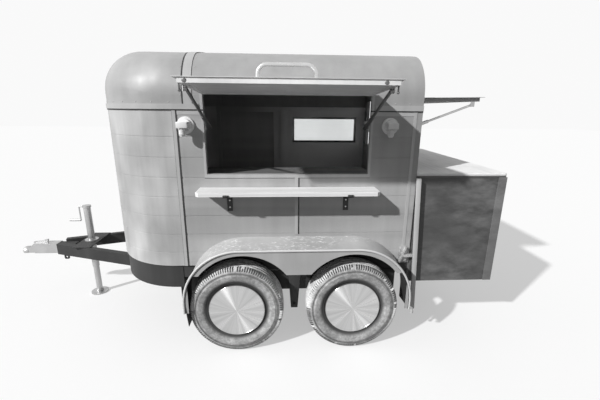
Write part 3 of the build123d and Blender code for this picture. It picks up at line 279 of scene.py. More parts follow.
def mixOf(tree, share, first, second, blend="MIX"):
    made = addNode(tree, "ShaderNodeMix", data_type="RGBA", blend_type=blend)
    for index, value in ((0, share), (6, first), (7, second)):
        setInput(tree, made.inputs[index], (*value, 1) if isinstance(value, tuple) else value)
    return made.outputs[2]


def shadedBy(tree, colour, shade):
    tint = addNode(tree, "ShaderNodeCombineColor", {0: shade, 1: shade, 2: shade})
    return mixOf(tree, 1.0, colour, tint.outputs[0], "MULTIPLY")


def bumpOf(tree, height, strength, distance, under=None):
    made = addNode(tree, "ShaderNodeBump", {"Height": height, "Strength": strength, "Distance": distance})
    if under is not None:
        tree.links.new(under, made.inputs["Normal"])
    return made.outputs["Normal"]


def finishMaterial(tree, shader, **linked):
    for socket, value in linked.items():
        tree.links.new(value, shader.inputs[socket.replace("_", " ")])


paintLook = {
    "slowScale": 2.2, "runScale": 1.6, "runStretch": (9, 9, 0.7), "grainScale": 90.0, "grainTone": 0.015,
    "bandStretch": (0.35, 0.35, 7.5), "bandEdge": (0.42, 0.58),
    "paintedReflectionScale": 4.2, "paintedReflectionStretch": (1, 1, 0.6), "paintedReflectionEdge": (0.36, 0.64), "paintedReflectionPale": 0.7,
    "dentStretch": (1, 1, 1.4), "dentDepth": 0.02, "grainBump": (0.05, 0.002),
}
scuffLook = {
    "scale": 34.0, "stretch": (1, 2.5, 2.5), "edge": (0.54, 0.68), "patchScale": 4.0,
    "patchEdge": (0.42, 0.58), "lookingUp": (0.2, 0.5), "lipWidth": 0.007, "lipFade": 0.002, "lipHighlightShare": 0.5,
}
archShadeLook = {"fromArchMiddle": (-2.5, 0, 0.1), "facing": (-0.02, -0.06)}
liningLook = {"depth": (0.008, 0.012), "paintedShadowFade": (2.0, 2.7), "paintedShadowShare": 0.4}


def scuffedPaintWithLipHighlight(tree, base, wear):  # pale scuffs where the sheet looks up, and a painted highlight in the same pale colour along the outer lip
    spots = noiseOf(tree, objectPlace(tree, scuffLook["stretch"]), scuffLook["scale"], 5.0, 0.65)
    patch = noiseOf(tree, objectPlace(tree), scuffLook["patchScale"], 2.0)
    scuff = productOf(tree, rangeOf(tree, spots, *scuffLook["edge"]),
                      rangeOf(tree, patch, *scuffLook["patchEdge"]),
                      rangeOf(tree, axesOf(tree, facingOf(tree))["Z"], *scuffLook["lookingUp"]))
    base = mixOf(tree, scuff, base, grey(wear))
    across = mathOf(tree, "ABSOLUTE", axesOf(tree, objectPlace(tree))["Y"])
    lipStart = -guardLow.y - scuffLook["lipWidth"]
    lip = rangeOf(tree, across, lipStart, lipStart + scuffLook["lipFade"], 0.0, scuffLook["lipHighlightShare"])
    return mixOf(tree, lip, base, grey(wear))


def paintedArchShade(tree, base, underside):  # painted shade: faces that look back at the middle of the arch are painted near black, as if in shadow
    fromMiddle = objectPlace(tree, shift=archShadeLook["fromArchMiddle"])
    facing = addNode(tree, "ShaderNodeVectorMath", {0: facingOf(tree), 1: fromMiddle},
                     operation="DOT_PRODUCT").outputs["Value"]
    return mixOf(tree, rangeOf(tree, facing, *archShadeLook["facing"]), base, grey(underside))


def linedInside(tree, base, lining):  # the inside is pale board, with a painted shadow that greys it towards the nose
    axes = axesOf(tree, objectPlace(tree))
    within = rangeOf(tree, axes["Y"], *(farWallY - depth for depth in liningLook["depth"]))
    outsidePaintedShadow = rangeOf(tree, axes["X"], *liningLook["paintedShadowFade"])
    boardWithPaintedShadow = mixOf(tree, outsidePaintedShadow, grey(lining * liningLook["paintedShadowShare"]), grey(lining))
    return mixOf(tree, within, base, boardWithPaintedShadow)


def paintMaterial(name, tone, roughness=0.5, bands=0.0, blotch=0.10, streak=0.06, dent=0.35, dentScale=3.1,
                  mottle=0.0, wear=None, underside=None, lining=None, **sockets):
    # satin paint on sheet steel: slow tone changes, faint runs, fine grain and shallow dents
    look = paintLook
    material, tree, shader = startMaterial(name, grey(tone), roughness, **sockets)
    slow = noiseOf(tree, objectPlace(tree), look["slowScale"], 2.0)
    run = noiseOf(tree, objectPlace(tree, look["runStretch"]), look["runScale"], 4.0)
    fine = noiseOf(tree, objectPlace(tree), look["grainScale"], 3.0)
    shade = productOf(tree, aroundOne(tree, slow, blotch), aroundOne(tree, run, streak),
                      aroundOne(tree, fine, look["grainTone"]))
    if bands:  # painted light and shade: level, soft-edged bands of lighter and darker colour across the flat sheet
        level = noiseOf(tree, objectPlace(tree, look["bandStretch"]), 1.0, 1.0, 0.3)
        shade = productOf(tree, shade, rangeOf(tree, level, *look["bandEdge"], 1 - bands, 1 + bands))
    if mottle:  # painted reflection: soft upright patches of lighter and darker colour, as thin sheet mirrors its surroundings
        reflectionPatches = noiseOf(tree, objectPlace(tree, look["paintedReflectionStretch"]), look["paintedReflectionScale"], 2.0, 0.45)
        pale = 1 + mottle * look["paintedReflectionPale"]
        shade = productOf(tree, shade, rangeOf(tree, reflectionPatches, *look["paintedReflectionEdge"], 1 - mottle, pale))
    base = shadedBy(tree, grey(tone), shade)
    if wear is not None:
        base = scuffedPaintWithLipHighlight(tree, base, wear)
    if underside is not None:
        base = paintedArchShade(tree, base, underside)
    if lining is not None:
        base = linedInside(tree, base, lining)
    dents = noiseOf(tree, objectPlace(tree, look["dentStretch"]), dentScale, 1.5, 0.4)
    normal = bumpOf(tree, dents, dent, look["dentDepth"])
    finishMaterial(tree, shader, Base_Color=base, Normal=bumpOf(tree, fine, *look["grainBump"], normal),
                   Roughness=spreadOf(tree, run, roughness - 0.06, roughness + 0.08))
    return material


metalLook = {"brushScale": 14.0, "stainScale": 9.0, "bump": (0.12, 0.001)}


def metalMaterial(name, tone, roughness, metallic=0.85, grain=(1, 60, 60), scratch=0.08, blotch=0.06):
    # bare or zinc-coated metal: brushed grain along one axis, stains and small scratches
    material, tree, shader = startMaterial(name, grey(tone), roughness, metallic)
    brushed = noiseOf(tree, objectPlace(tree, grain), metalLook["brushScale"], 3.0)
    stain = noiseOf(tree, objectPlace(tree), metalLook["stainScale"], 4.0)
    shade = productOf(tree, aroundOne(tree, brushed, scratch), aroundOne(tree, stain, blotch))
    finishMaterial(tree, shader, Base_Color=shadedBy(tree, grey(tone), shade),
                   Normal=bumpOf(tree, brushed, *metalLook["bump"]),
                   Roughness=spreadOf(tree, stain, roughness - 0.05, roughness + 0.1))
    return material


timberLook = {"roughness": 0.62, "warpScale": 2.4, "ringScale": 1.1, "ringBend": 7.0, "fibreScale": 6.0,
              "fibreStretch": (3, 8, 8), "stainScale": 5.0, "bump": (0.25, 0.0015), "rail": 0.10,
              "railFade": 0.0005}


def timberMaterial(name, pale, dark, along=(1, 18, 18), worn=0.25, railTop=None):
    # boards with grain along one axis, knots and grey wear
    look = timberLook
    rough = look["roughness"]
    material, tree, shader = startMaterial(name, grey(pale), rough)
    warp = noiseOf(tree, objectPlace(tree, along), look["warpScale"], 2.0)
    rings = addNode(tree, "ShaderNodeTexWave",
                    {"Vector": objectPlace(tree, along), "Scale": look["ringScale"],
                     "Distortion": look["ringBend"], "Detail": 3.0, "Detail Scale": 1.6},
                    bands_direction="Z").outputs["Fac"]
    fibreStretch = tuple(first * second for first, second in zip(along, look["fibreStretch"]))
    fibre = noiseOf(tree, objectPlace(tree, fibreStretch), look["fibreScale"], 4.0)
    grain = productOf(tree, rangeOf(tree, rings, 0.2, 0.9, 0.15, 0.75), spreadOf(tree, fibre, 0.4, 1.0))
    stain = noiseOf(tree, objectPlace(tree), look["stainScale"], 5.0)
    share = mathOf(tree, "ADD", productOf(tree, grain, 0.5), rangeOf(tree, stain, 0.52, 0.78, 0.0, worn))
    base = mixOf(tree, share, grey(pale), grey(dark))
    if railTop is not None:  # below this height the edge is a dark rail
        height = axesOf(tree, objectPlace(tree))["Z"]
        below = rangeOf(tree, height, railTop + look["railFade"], railTop - look["railFade"])
        base = mixOf(tree, below, base, grey(look["rail"]))
    finishMaterial(tree, shader, Base_Color=base,
                   Normal=bumpOf(tree, mathOf(tree, "ADD", grain, warp), *look["bump"]),
                   Roughness=rangeOf(tree, grain, 0.0, 1.0, rough - 0.08, rough + 0.12))
    return material


rubberLook = {"roughness": 0.78, "cloudScale": 11.0, "speckScale": 160.0, "bump": (0.3, 0.0008)}


def rubberMaterial(name, tone, dust):
    # plain rubber with road dust in its recesses
    rough = rubberLook["roughness"]
    material, tree, shader = startMaterial(name, grey(tone), rough)
    cloud = noiseOf(tree, objectPlace(tree), rubberLook["cloudScale"], 5.0)
    speck = noiseOf(tree, objectPlace(tree), rubberLook["speckScale"], 2.0)
    share = productOf(tree, rangeOf(tree, cloud, 0.35, 0.7, 0.15, 0.85),
                      rangeOf(tree, speck, 0.35, 0.65, 0.5, 1.0))
    finishMaterial(tree, shader, Base_Color=mixOf(tree, share, grey(tone), grey(dust)),
                   Normal=bumpOf(tree, speck, *rubberLook["bump"]),
                   Roughness=spreadOf(tree, cloud, rough - 0.1, rough + 0.12))
    return material


boardLook = {"swipeScale": 2.6, "swipeStretch": (2.2, 2.2, 5.0), "swipeTurn": (0, 0.5, 0), "patchScale": 3.0,
             "haze": 0.55, "grainScale": 120.0, "bump": (0.12, 0.001)}


def boardMaterial(name, tone, chalk):
    # blackboard paint with wiped chalk haze, in broad swipes
    look = boardLook
    material, tree, shader = startMaterial(name, grey(tone), 0.7)
    swipePlace = objectPlace(tree, look["swipeStretch"], turn=look["swipeTurn"])
    swipe = noiseOf(tree, swipePlace, look["swipeScale"], 4.0, 0.6)
    patch = noiseOf(tree, objectPlace(tree), look["patchScale"], 2.0)
    haze = productOf(tree, rangeOf(tree, swipe, 0.35, 0.75), spreadOf(tree, patch, 0.25, 1.0), look["haze"])
    fine = noiseOf(tree, objectPlace(tree), look["grainScale"], 3.0)
    finishMaterial(tree, shader, Base_Color=mixOf(tree, haze, grey(tone), grey(chalk)),
                   Normal=bumpOf(tree, fine, *look["bump"]), Roughness=spreadOf(tree, swipe, 0.62, 0.8))
    return material


def glassMaterial(name, colour):
    # clear glass with a thin film of dirt
    material, tree, shader = startMaterial(name, colour, 0.04, IOR=1.45, Transmission_Weight=0.9)
    film = noiseOf(tree, objectPlace(tree), 6.0, 4.0)
    finishMaterial(tree, shader, Roughness=rangeOf(tree, film, 0.35, 0.7, 0.04, 0.18))
    return material


paintSettings = {
    "wall": {"tone": 0.385, "bands": 0.09, "Specular_IOR_Level": 0.3},
    # on the nose, the stronger blotches and runs are partly painted reflection as well as tone, beside the
    # painted reflection patches
    "nose": {"tone": 0.46, "roughness": 0.42, "blotch": 0.14, "streak": 0.10, "dent": 1.0, "dentScale": 2.4,
             "mottle": 0.19, "metallic": 0.15, "Specular_IOR_Level": 0.4},
    "roof": {"tone": 0.340, "blotch": 0.05, "Specular_IOR_Level": 0.3},
    "brow": {"tone": 0.325, "blotch": 0.06, "dent": 1.4, "dentScale": 3.0, "mottle": 0.12,
             "Specular_IOR_Level": 0.8},
    "farWall": {"tone": 0.385, "bands": 0.09, "lining": 0.95, "Specular_IOR_Level": 0.3},
    "rail": {"tone": 0.84},
    "lid": {"tone": 0.46},
    "guard": {"tone": 0.42, "blotch": 0.12, "wear": 0.82, "underside": 0.03, "Specular_IOR_Level": 0.3},
    "trim": {"tone": 0.43, "roughness": 0.45, "blotch": 0.08},
    "chassis": {"tone": 0.035, "roughness": 0.6, "blotch": 0.3, "streak": 0.2, "Specular_IOR_Level": 0.3},
    "bar": {"tone": 0.50, "blotch": 0.12},
    "bracket": {"tone": 0.035, "roughness": 0.55, "Specular_IOR_Level": 0.3},
    # near-black wheel paint, which also stands in as painted shade for the gap round each cap
    "rim": {"tone": 0.05, "roughness": 0.6},
    "lamp": {"tone": 0.76, "roughness": 0.4, "blotch": 0.08},
}
paints = {name: paintMaterial(name + "Paint", **settings) for name, settings in paintSettings.items()}
zinc = metalMaterial("zincPlate", 0.50, 0.42, grain=(20, 20, 20))
darkSteel = metalMaterial("darkSteel", 0.16, 0.45, grain=(20, 20, 20))
roughCast = metalMaterial("roughCast", 0.46, 0.6, 0.3, grain=(6, 6, 6), scratch=0.35, blotch=0.3)
aluminiumSheet = metalMaterial("aluminiumSheet", 0.60, 0.4, 0.55)
polishedTube = metalMaterial("polishedTube", 0.66, 0.25, 0.95)
shelfTimber = timberMaterial("shelfTimber", 0.86, 0.54, worn=0.12)
counterTimber = timberMaterial("counterTimber", 0.88, 0.60, along=(14, 1, 14), worn=0.4, railTop=0.864)
worktopTimber = timberMaterial("worktopTimber", 0.16, 0.07, along=(1, 14, 14))
floorTimber = timberMaterial("floorBoards", 0.24, 0.10)
tyreRubber = rubberMaterial("tyreRubber", 0.055, 0.21)
# near-black rubber for the mud flaps, and for the beads that paint shadow lines
sealBead = rubberMaterial("sealBead", 0.02, 0.06)
blackboard = boardMaterial("blackboard", 0.055, 0.36)
boardFrame = boardMaterial("boardFrame", 0.13, 0.40)
clearGlass = glassMaterial("clearGlass", (0.85, 0.87, 0.87))

slotFinish = {
    "zinc_steel": zinc, "aluminium": aluminiumSheet, "wheel_paint": paints["rim"], "tyre_rubber": tyreRubber,
    "shelf_timber": shelfTimber, "counter_timber": counterTimber, "chalkboard": blackboard,
    "floor_board": floorTimber, "window_glass": clearGlass, "window_trim": aluminiumSheet,
}
nodeFinish = [
    (paints["wall"], ["side_near", "rear_panel", "access_door"]),
    (paints["farWall"], ["side_far"]),
    (paints["nose"], ["nose_panel"]),
    (paints["brow"], ["roof_front"]),
    (paints["roof"], ["roof_main"]),
    (paints["rail"], ["hatch_frame"]),
    (paints["lid"], ["rear_hatch"]),
    (paints["guard"], ["mudguard_near", "mudguard_far"]),
    (paints["trim"], ["belt_moulding", "seam_strips"]),
    (paints["chassis"], ["drawbar", "chassis", "nose_apron", "suspension", "axles", "wheel_boxes"]),
    (paints["bar"], ["prop_bar"]),
    (paints["bracket"], ["shelf_brackets"]),
    (darkSteel, [f"hatch_stay_{part}_{end}" for part in ("rod", "tube") for end in ("fore", "aft")]),
    (boardFrame, ["counter_frame", "counter_front"]),
    (worktopTimber, ["worktop"]),
]
finishOf = {nodeName: finish for finish, nodeNames in nodeFinish for nodeName in nodeNames}
for nodeName, node in nodes.items():
    node.data.materials.clear()
    node.data.materials.append(finishOf.get(nodeName) or slotFinish[slotOf[nodeName]])
print("materials on every node")


# stage, lights and camera

stageSettings = {
    "size": 60.0, "middleX": 2, "gap": 0.0005, "floorTone": 0.5, "floorGlow": 0.44, "floorBounce": 0.09,
    "skyTone": 0.33, "skySeen": 0.95, "sunStrength": 4.1, "sunAngle": 1.8, "sunPlace": (-4, -6, 6),
    "sunTravel": (0.661, 0.501, -0.558),
}


def directlySeen(tree):  # 1 for camera, glossy and transmission rays, 0 for the rest
    paths = addNode(tree, "ShaderNodeLightPath")
    shining = mathOf(tree, "MAXIMUM", paths.outputs["Is Glossy Ray"], paths.outputs["Is Transmission Ray"])
    return mathOf(tree, "MAXIMUM", paths.outputs["Is Camera Ray"], shining)


def makeFloor():
    ops.mesh.primitive_plane_add(size=stageSettings["size"],
                                 location=(stageSettings["middleX"], 0, groundZ - stageSettings["gap"]))
    floor = settle(newPiece("floor"))
    tone = grey(stageSettings["floorTone"])
    material, tree, shader = startMaterial("floorPaper", tone, 0.9, Specular_IOR_Level=0.0)
    shader.inputs["Emission Color"].default_value = (1, 1, 1, 1)
    seen = directlySeen(tree)
    finishMaterial(tree, shader, Base_Color=mixOf(tree, seen, grey(stageSettings["floorBounce"]), tone),
                   Emission_Strength=productOf(tree, seen, stageSettings["floorGlow"]))
    floor.data.materials.append(material)


def makeLight():
    world = bpy.data.worlds.new("studio")
    bpy.context.scene.world = world
    world.use_nodes = True
    tree = world.node_tree
    background = tree.nodes["Background"]
    background.inputs["Color"].default_value = (1, 1, 1, 1)
    strength = rangeOf(tree, directlySeen(tree), 0, 1, stageSettings["skyTone"], stageSettings["skySeen"])
    tree.links.new(strength, background.inputs["Strength"])
    ops.object.light_add(type="SUN", location=stageSettings["sunPlace"])
    sun = bpy.context.active_object
    sun.name = "softKey"
    sun.data.energy = stageSettings["sunStrength"]
    sun.data.angle = radians(stageSettings["sunAngle"])
    sun.rotation_mode = "QUATERNION"
    sun.rotation_quaternion = Vector(stageSettings["sunTravel"]).to_track_quat("-Z", "Y")


cameraSettings = {"place": (2.4049, -3.097, 1.3168), "yaw": -0.0565, "tilt": 0.2645, "roll": 0.009,
                  "lens": 20.19, "sensor": 36, "nearest": 0.05}


def makeCamera():
    ops.object.camera_add()
    camera = bpy.context.active_object
    camera.data.lens = cameraSettings["lens"]
    camera.data.sensor_width = cameraSettings["sensor"]
    camera.data.clip_start = cameraSettings["nearest"]
    camera.matrix_world = (Matrix.Translation(Vector(cameraSettings["place"]))
                           @ Matrix.Rotation(cameraSettings["yaw"], 4, "Z")
                           @ Matrix.Rotation(pi / 2 - cameraSettings["tilt"], 4, "X")
                           @ Matrix.Rotation(cameraSettings["roll"], 4, "Z"))
    bpy.context.scene.camera = camera


makeFloor()
makeLight()
makeCamera()
bpy.context.scene.view_settings.view_transform = "Standard"
print("stage, lights and camera")


# wheels: tyres that stand for the plain rings, and spun faces over the caps

tyreShape = {
    "segments": 240, "smooth": 38,
    "bead": [(0.1908, 0.0700), (0.2040, 0.0700), (0.2075, 0.0712), (0.2110, 0.0752), (0.2150, 0.0772),
             (0.2190, 0.0768)],
    "side": [(0.2225, 0.0790), (0.2320, 0.0858), (0.2430, 0.0922), (0.2560, 0.0960), (0.2700, 0.0966)],
    "rings": [(0.2770, 0.0980), (0.2815, 0.0978), (0.2835, 0.0952), (0.2900, 0.0942), (0.2960, 0.0925),
              (0.2975, 0.0945), (0.3040, 0.0934), (0.3055, 0.0905)],
    "shoulder": [(0.3100, 0.0898), (0.3180, 0.0882), (0.3260, 0.0862), (0.3320, 0.0830), (0.3365, 0.0778),
                 (0.3390, 0.0690)],
    "treadEdge": 0.3395, "treadMid": 0.3430, "treadHalf": 0.066,
    "grooveMids": (0.046, 0.0155), "grooveHalf": 0.0045, "grooveSlope": 0.001, "grooveFloor": 0.3330,
    "fins": [  # at every second column between two distances from the middle, above a radius
        {"scale": 0.981, "phase": 0, "fromMiddle": (0.0505, 0.0875), "above": 0.320},
        {"scale": 0.991, "phase": 1, "fromMiddle": (0.0, 0.0415), "above": 0.3395},
    ],
}
tyreLook = {
    "rubber": 0.055, "dust": 0.80, "tread": (0.296, 0.318), "treadDust": 1.1,
    "bandIn": (0.224, 0.246), "bandOut": (0.300, 0.285), "bandDust": 0.56,
    "cloudScale": 9.0, "speckScale": 140.0, "scuffScale": 46.0, "bump": (0.25, 0.0008),
}


def axleMiddle(axle, side):
    low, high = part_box(f"tyre_{axle}_{side}")
    return (low + high) / 2


def tyreMaterial(name, centre):
    # black rubber, dusty on the tread and browned by age in a band round each sidewall
    look = tyreLook
    material, tree, shader = startMaterial(name, grey(0.06), 0.75)
    axes = axesOf(tree, objectPlace(tree, shift=-centre))
    flat = addNode(tree, "ShaderNodeCombineXYZ", {"X": axes["X"], "Z": axes["Z"]})
    radius = lengthOf(tree, flat.outputs[0])
    cloud = noiseOf(tree, objectPlace(tree), look["cloudScale"], 5.0)
    speck = noiseOf(tree, objectPlace(tree), look["speckScale"], 2.0)
    scuff = noiseOf(tree, objectPlace(tree), look["scuffScale"], 3.0, 0.6)
    tread = productOf(tree, rangeOf(tree, radius, *look["tread"]), look["treadDust"])
    band = productOf(tree, rangeOf(tree, radius, *look["bandIn"]), rangeOf(tree, radius, *look["bandOut"]),
                     look["bandDust"])
    dust = productOf(tree, mathOf(tree, "ADD", tread, band), spreadOf(tree, cloud, 0.5, 1.15),
                     rangeOf(tree, speck, 0.35, 0.65, 0.75, 1.1),
                     rangeOf(tree, scuff, 0.36, 0.64, 0.72, 1.28))
    finishMaterial(tree, shader, Base_Color=mixOf(tree, dust, grey(look["rubber"]), grey(look["dust"])),
                   Normal=bumpOf(tree, speck, *look["bump"]), Roughness=spreadOf(tree, cloud, 0.6, 0.85))
    return material


def tyreProfile():
    shape = tyreShape
    half, slope, floor = shape["grooveHalf"], shape["grooveSlope"], shape["grooveFloor"]
    outer = [(radius, -y) for part in ("bead", "side", "rings", "shoulder") for radius, y in shape[part]]
    inner = [(radius, -y) for radius, y in reversed(outer)]

    def treadPoint(y):
        crown = shape["treadMid"] - shape["treadEdge"]
        return (shape["treadMid"] - crown * (y / shape["treadHalf"]) ** 2, y)

    tread = []
    for middle in (*(-groove for groove in shape["grooveMids"]), *reversed(shape["grooveMids"])):
        tread += [treadPoint(middle - half), (floor, middle - half + slope), (floor, middle + half - slope),
                  treadPoint(middle + half)]
    return outer + tread + inner + [outer[0]]


def makeTyre(axle, side):
    centre = axleMiddle(axle, side)
    segments = tyreShape["segments"]
    piece = turnedPiece(f"treadedTyre_{axle}_{side}", centre, tyreProfile(), segments, "NOTHING")
    step = 2 * pi / segments

    def hasFin(place, fin):
        x, z = place.x - centre.x, place.z - centre.z
        column = int((atan2(z, x) + pi) / step)
        near, far = fin["fromMiddle"]
        inZone = near <= abs(place.y - centre.y) <= far
        return column % 2 == fin["phase"] and Vector((x, z)).length > fin["above"] and inZone

    for fin in tyreShape["fins"]:  # only edges stay selected here, and thin fins go into the rubber
        startEdit(piece)
        selectFaces(piece, lambda place, normal: hasFin(place, fin))
        ops.mesh.extrude_region_move()
        ops.transform.resize(value=(fin["scale"], 1, fin["scale"]), center_override=centre)
        stopEdit()
    finishMesh(piece, tyreShape["smooth"])
    dress(piece, tyreMaterial(f"tyreRubber_{axle}_{side}", centre), f"wheel_{axle}_{side}")
    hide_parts(f"tyre_{axle}_{side}")


capShape = {
    "segments": 128, "smooth": 40, "sphere": 2.1475, "dome": 0.010, "edge": 0.0843, "lift": 0.0008,
    "roll": [(0.1955, 0.0838), (0.1995, 0.0838), (0.2010, 0.0852), (0.2010, 0.0872), (0.1996, 0.0884),
             (0.1978, 0.0884), (0.1965, 0.0874), (0.1955, 0.0862)],
    "rings": (0.194, 0.185, 0.165, 0.140, 0.110, 0.080, 0.050, 0.025, 0.012, 0.006),
}
capLook = {"pale": 0.66, "dark": 0.46, "roughness": 0.30, "anisotropy": 0.95, "rotation": 0.25,
           "wedgeScale": 5.0, "wedgeEdge": (0.35, 0.72), "grooves": 5652.0, "bump": (0.05, 0.0004)}


def spunMaterial(name, centre):
    # spun aluminium: turned grooves, faint wedges of painted sheen in the colour, and radial sheen from the
    # grain's direction
    look = capLook
    material, tree, shader = startMaterial(name, grey(look["pale"]), look["roughness"], 1.0,
                                           Anisotropic=look["anisotropy"],
                                           Anisotropic_Rotation=look["rotation"])
    place = objectPlace(tree, shift=-centre)
    axes = axesOf(tree, place)
    angle = mathOf(tree, "ARCTAN2", axes["Z"], axes["X"])
    ring = addNode(tree, "ShaderNodeCombineXYZ", {"X": mathOf(tree, "COSINE", angle),
                                                  "Y": mathOf(tree, "SINE", angle)})
    wedge = noiseOf(tree, ring.outputs[0], look["wedgeScale"], 5.0, 0.6)
    groove = mathOf(tree, "SINE", productOf(tree, lengthOf(tree, place), look["grooves"]))
    paintedSheenShare = rangeOf(tree, wedge, *look["wedgeEdge"])
    tangent = addNode(tree, "ShaderNodeTangent", direction_type="RADIAL", axis="Y")
    finishMaterial(tree, shader, Base_Color=mixOf(tree, paintedSheenShare, grey(look["pale"]), grey(look["dark"])),
                   Tangent=tangent.outputs[0], Normal=bumpOf(tree, groove, *look["bump"]),
                   Roughness=spreadOf(tree, wedge, 0.25, 0.33))
    return material


def makeCap(axle, side):
    centre = axleMiddle(axle, side)
    out = -1 if side == "near" else 1
    profile = [(radius, out * y) for radius, y in capShape["roll"]]
    for radius in capShape["rings"]:
        dome = capShape["dome"] - radius**2 / (2 * capShape["sphere"])
        profile.append((radius, out * (capShape["edge"] + dome + capShape["lift"])))
    piece = turnedPiece(f"spunCap_{axle}_{side}", centre, profile, capShape["segments"])
    finishMesh(piece, capShape["smooth"])
    dress(piece, spunMaterial(f"spunAluminium_{axle}_{side}", centre), f"wheel_{axle}_{side}")


for axleName in ("front", "rear"):
    for sideName in ("near", "far"):
        makeTyre(axleName, sideName)
        makeCap(axleName, sideName)
print("tyres and caps")


# lamps on the serving side, with places counted from a lamp's middle on the wall

lampShape = {
    "segments": 48, "smooth": 35, "reach": 0.057,
    "base": [(0.0570, 0.0), (0.0570, 0.0085), (0.0545, 0.0125), (0.0480, 0.0140), (0.0450, 0.0150),
             (0.0435, 0.0220), (0.0400, 0.0290), (0.0340, 0.0310)],
    "hoodSize": (0.072, 0.062, 0.040), "hoodPlace": (-0.004, -0.061, 0.004),
    "hoodRound": {"width": 0.004, "segments": 3},
    "jar": [(0.0120, 0.0), (0.0165, 0.0015), (0.0185, 0.0060), (0.0200, 0.0120)],
    "jarPlace": (-0.010, -0.062, -0.070), "jarRibs": 6, "ribPitch": 0.0055,
    "rib": [(0.0218, 0.0035), (0.0218, 0.0015), (0.0200, 0.0)], "jarTip": (0.0180, 0.006),
    "screwSides": 20, "screwRadius": 0.0052, "screwDepth": 0.004, "screwPlace": (0.047, -0.0135, -0.004),
}


def jarProfile():
    profile = [(radius, -y) for radius, y in lampShape["jar"]]
    for _ in range(lampShape["jarRibs"]):
        start = profile[-1][1] - lampShape["ribPitch"]
        profile += [(radius, start + rise) for radius, rise in lampShape["rib"]]
    tipRadius, tipLength = lampShape["jarTip"]
    return profile + [(tipRadius, profile[-1][1] - tipLength)]


def makeLamp(middle, name):
    base = turnedPiece(name + "Base", middle, [(radius, -y) for radius, y in lampShape["base"]],
                       lampShape["segments"])
    ops.mesh.primitive_cube_add(size=1, scale=lampShape["hoodSize"],
                                location=middle + Vector(lampShape["hoodPlace"]))
    hood = roundEdges(settle(newPiece(name + "Hood")), **lampShape["hoodRound"])
    jar = turnedPiece(name + "Jar", (0, 0, 0), jarProfile(), lampShape["segments"])
    jar.data.transform(Matrix.Translation(middle + Vector(lampShape["jarPlace"]))
                       @ Matrix.Rotation(-pi / 2, 4, "X"))
    screws = []
    for side in (-1, 1):
        x, y, z = lampShape["screwPlace"]
        ops.mesh.primitive_cylinder_add(vertices=lampShape["screwSides"], radius=lampShape["screwRadius"],
                                        depth=lampShape["screwDepth"], rotation=(pi / 2, 0, 0),
                                        location=middle + Vector((side * x, y, z)))
        screws.append(settle(newPiece(f"{name}Screw{side}")))
    return joinPieces([base, hood, jar, *screws], name)


def makeLamps():
    low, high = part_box("wall_lamps")
    reach = lampShape["reach"]
    lamps = [makeLamp(Vector((x, nearWallY, high.z - reach)), f"lamp{i}")
             for i, x in enumerate((low.x + reach, high.x - reach))]
    pair = joinPieces(lamps, "servingLamps")
    finishMesh(pair, lampShape["smooth"])
    dress(pair, paints["lamp"], "trailer")
    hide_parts("wall_lamps")


makeLamps()
print("lamps")


# copies of CAD meshes: whole ones that are reshaped, and thin slices of an outside that become black beads,
# painted shadow lines

def editCopy(nodeName, name):  # leaves the copy in edit mode
    piece = bpy.data.objects.new(name, nodes[nodeName].data.copy())
    bpy.context.scene.collection.objects.link(piece)
    startEdit(piece)
    ops.mesh.select_all(action="SELECT")
    ops.mesh.remove_doubles(threshold=0.00005)
    ops.mesh.customdata_custom_splitnormals_clear()
    return piece


def sliceOf(nodeName, name, planes, keepFace, thickness):
    piece = editCopy(nodeName, name)
    for place, normal in planes:
        ops.mesh.select_all(action="SELECT")
        ops.mesh.bisect(plane_co=place, plane_no=normal, clear_outer=True)
    selectFaces(piece, lambda place, normal: not keepFace(place, normal))
    ops.mesh.delete(type="FACE")
    stopEdit()
    wall = piece.modifiers.new("wall", "SOLIDIFY")
    wall.thickness = thickness
    wall.offset = 1
    return applyModifiers(piece)


beltShape = {"drop": 0.028, "headLow": 1.300, "headHigh": 1.331, "smooth": 30}


def makeBelt():  # belt and head strips sit lower than in the frame, and the roof band reaches down to them
    drop = (0, 0, -beltShape["drop"])
    belt = editCopy("belt_moulding", "beltMoulding")
    ops.mesh.select_all(action="SELECT")
    ops.transform.translate(value=drop)
    stopEdit()
    strips = editCopy("seam_strips", "seamStrips")
    ops.mesh.select_all(action="DESELECT")
    selectPoints(strips, lambda place: beltShape["headLow"] < place.z < beltShape["headHigh"]
                 or abs(place.z - beltHigh.z) < 0.001)
    ops.transform.translate(value=drop)
    stopEdit()
    for piece, nodeName in ((belt, "belt_moulding"), (strips, "seam_strips")):
        settle(piece, beltShape["smooth"])
        dress(piece, paints["trim"], "trailer")
        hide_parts(nodeName)


makeBelt()
print("belt and strips")


beadShape = {
    "strapFore": 1.770, "strapAft": 1.825, "thick": 0.011, "thin": 0.0018, "proud": 0.0022, "beltDrop": 0.008,
    "seamHalf": 0.011, "stripX": 2.511, "stripBead": 0.009, "aboveGuard": 0.02, "caseZ": 0.850,
    "caseLine": 0.003, "noseCorner": 0.5, "smooth": 40,
}


def outOfShell(place, normal):
    outwards = normal.y * place.y + normal.z * max(place.z - beltLow.z, 0)
    return outwards > 0.0005 and abs(normal.x) < 0.9


def outOfWall(place, normal):
    fromNose = min(place.x - (noseX + beadShape["noseCorner"]), 0)
    return normal.y * place.y + normal.x * fromNose > 0.01 and abs(normal.z) < 0.7


def shellBeads():  # black beads, painted shadow lines along the band over the roof
    fore, aft, thick, thin = (beadShape[key] for key in ("strapFore", "strapAft", "thick", "thin"))
    forePlanes = [((fore - thick, 0, 0), (-1, 0, 0))]
    aftPlanes = [((aft, 0, 0), (-1, 0, 0)), ((aft + thin, 0, 0), (1, 0, 0))]
    return [sliceOf("roof_front", "beadFore", forePlanes, outOfShell, beadShape["proud"]),
            sliceOf("roof_main", "beadAft", aftPlanes, outOfShell, beadShape["proud"])]


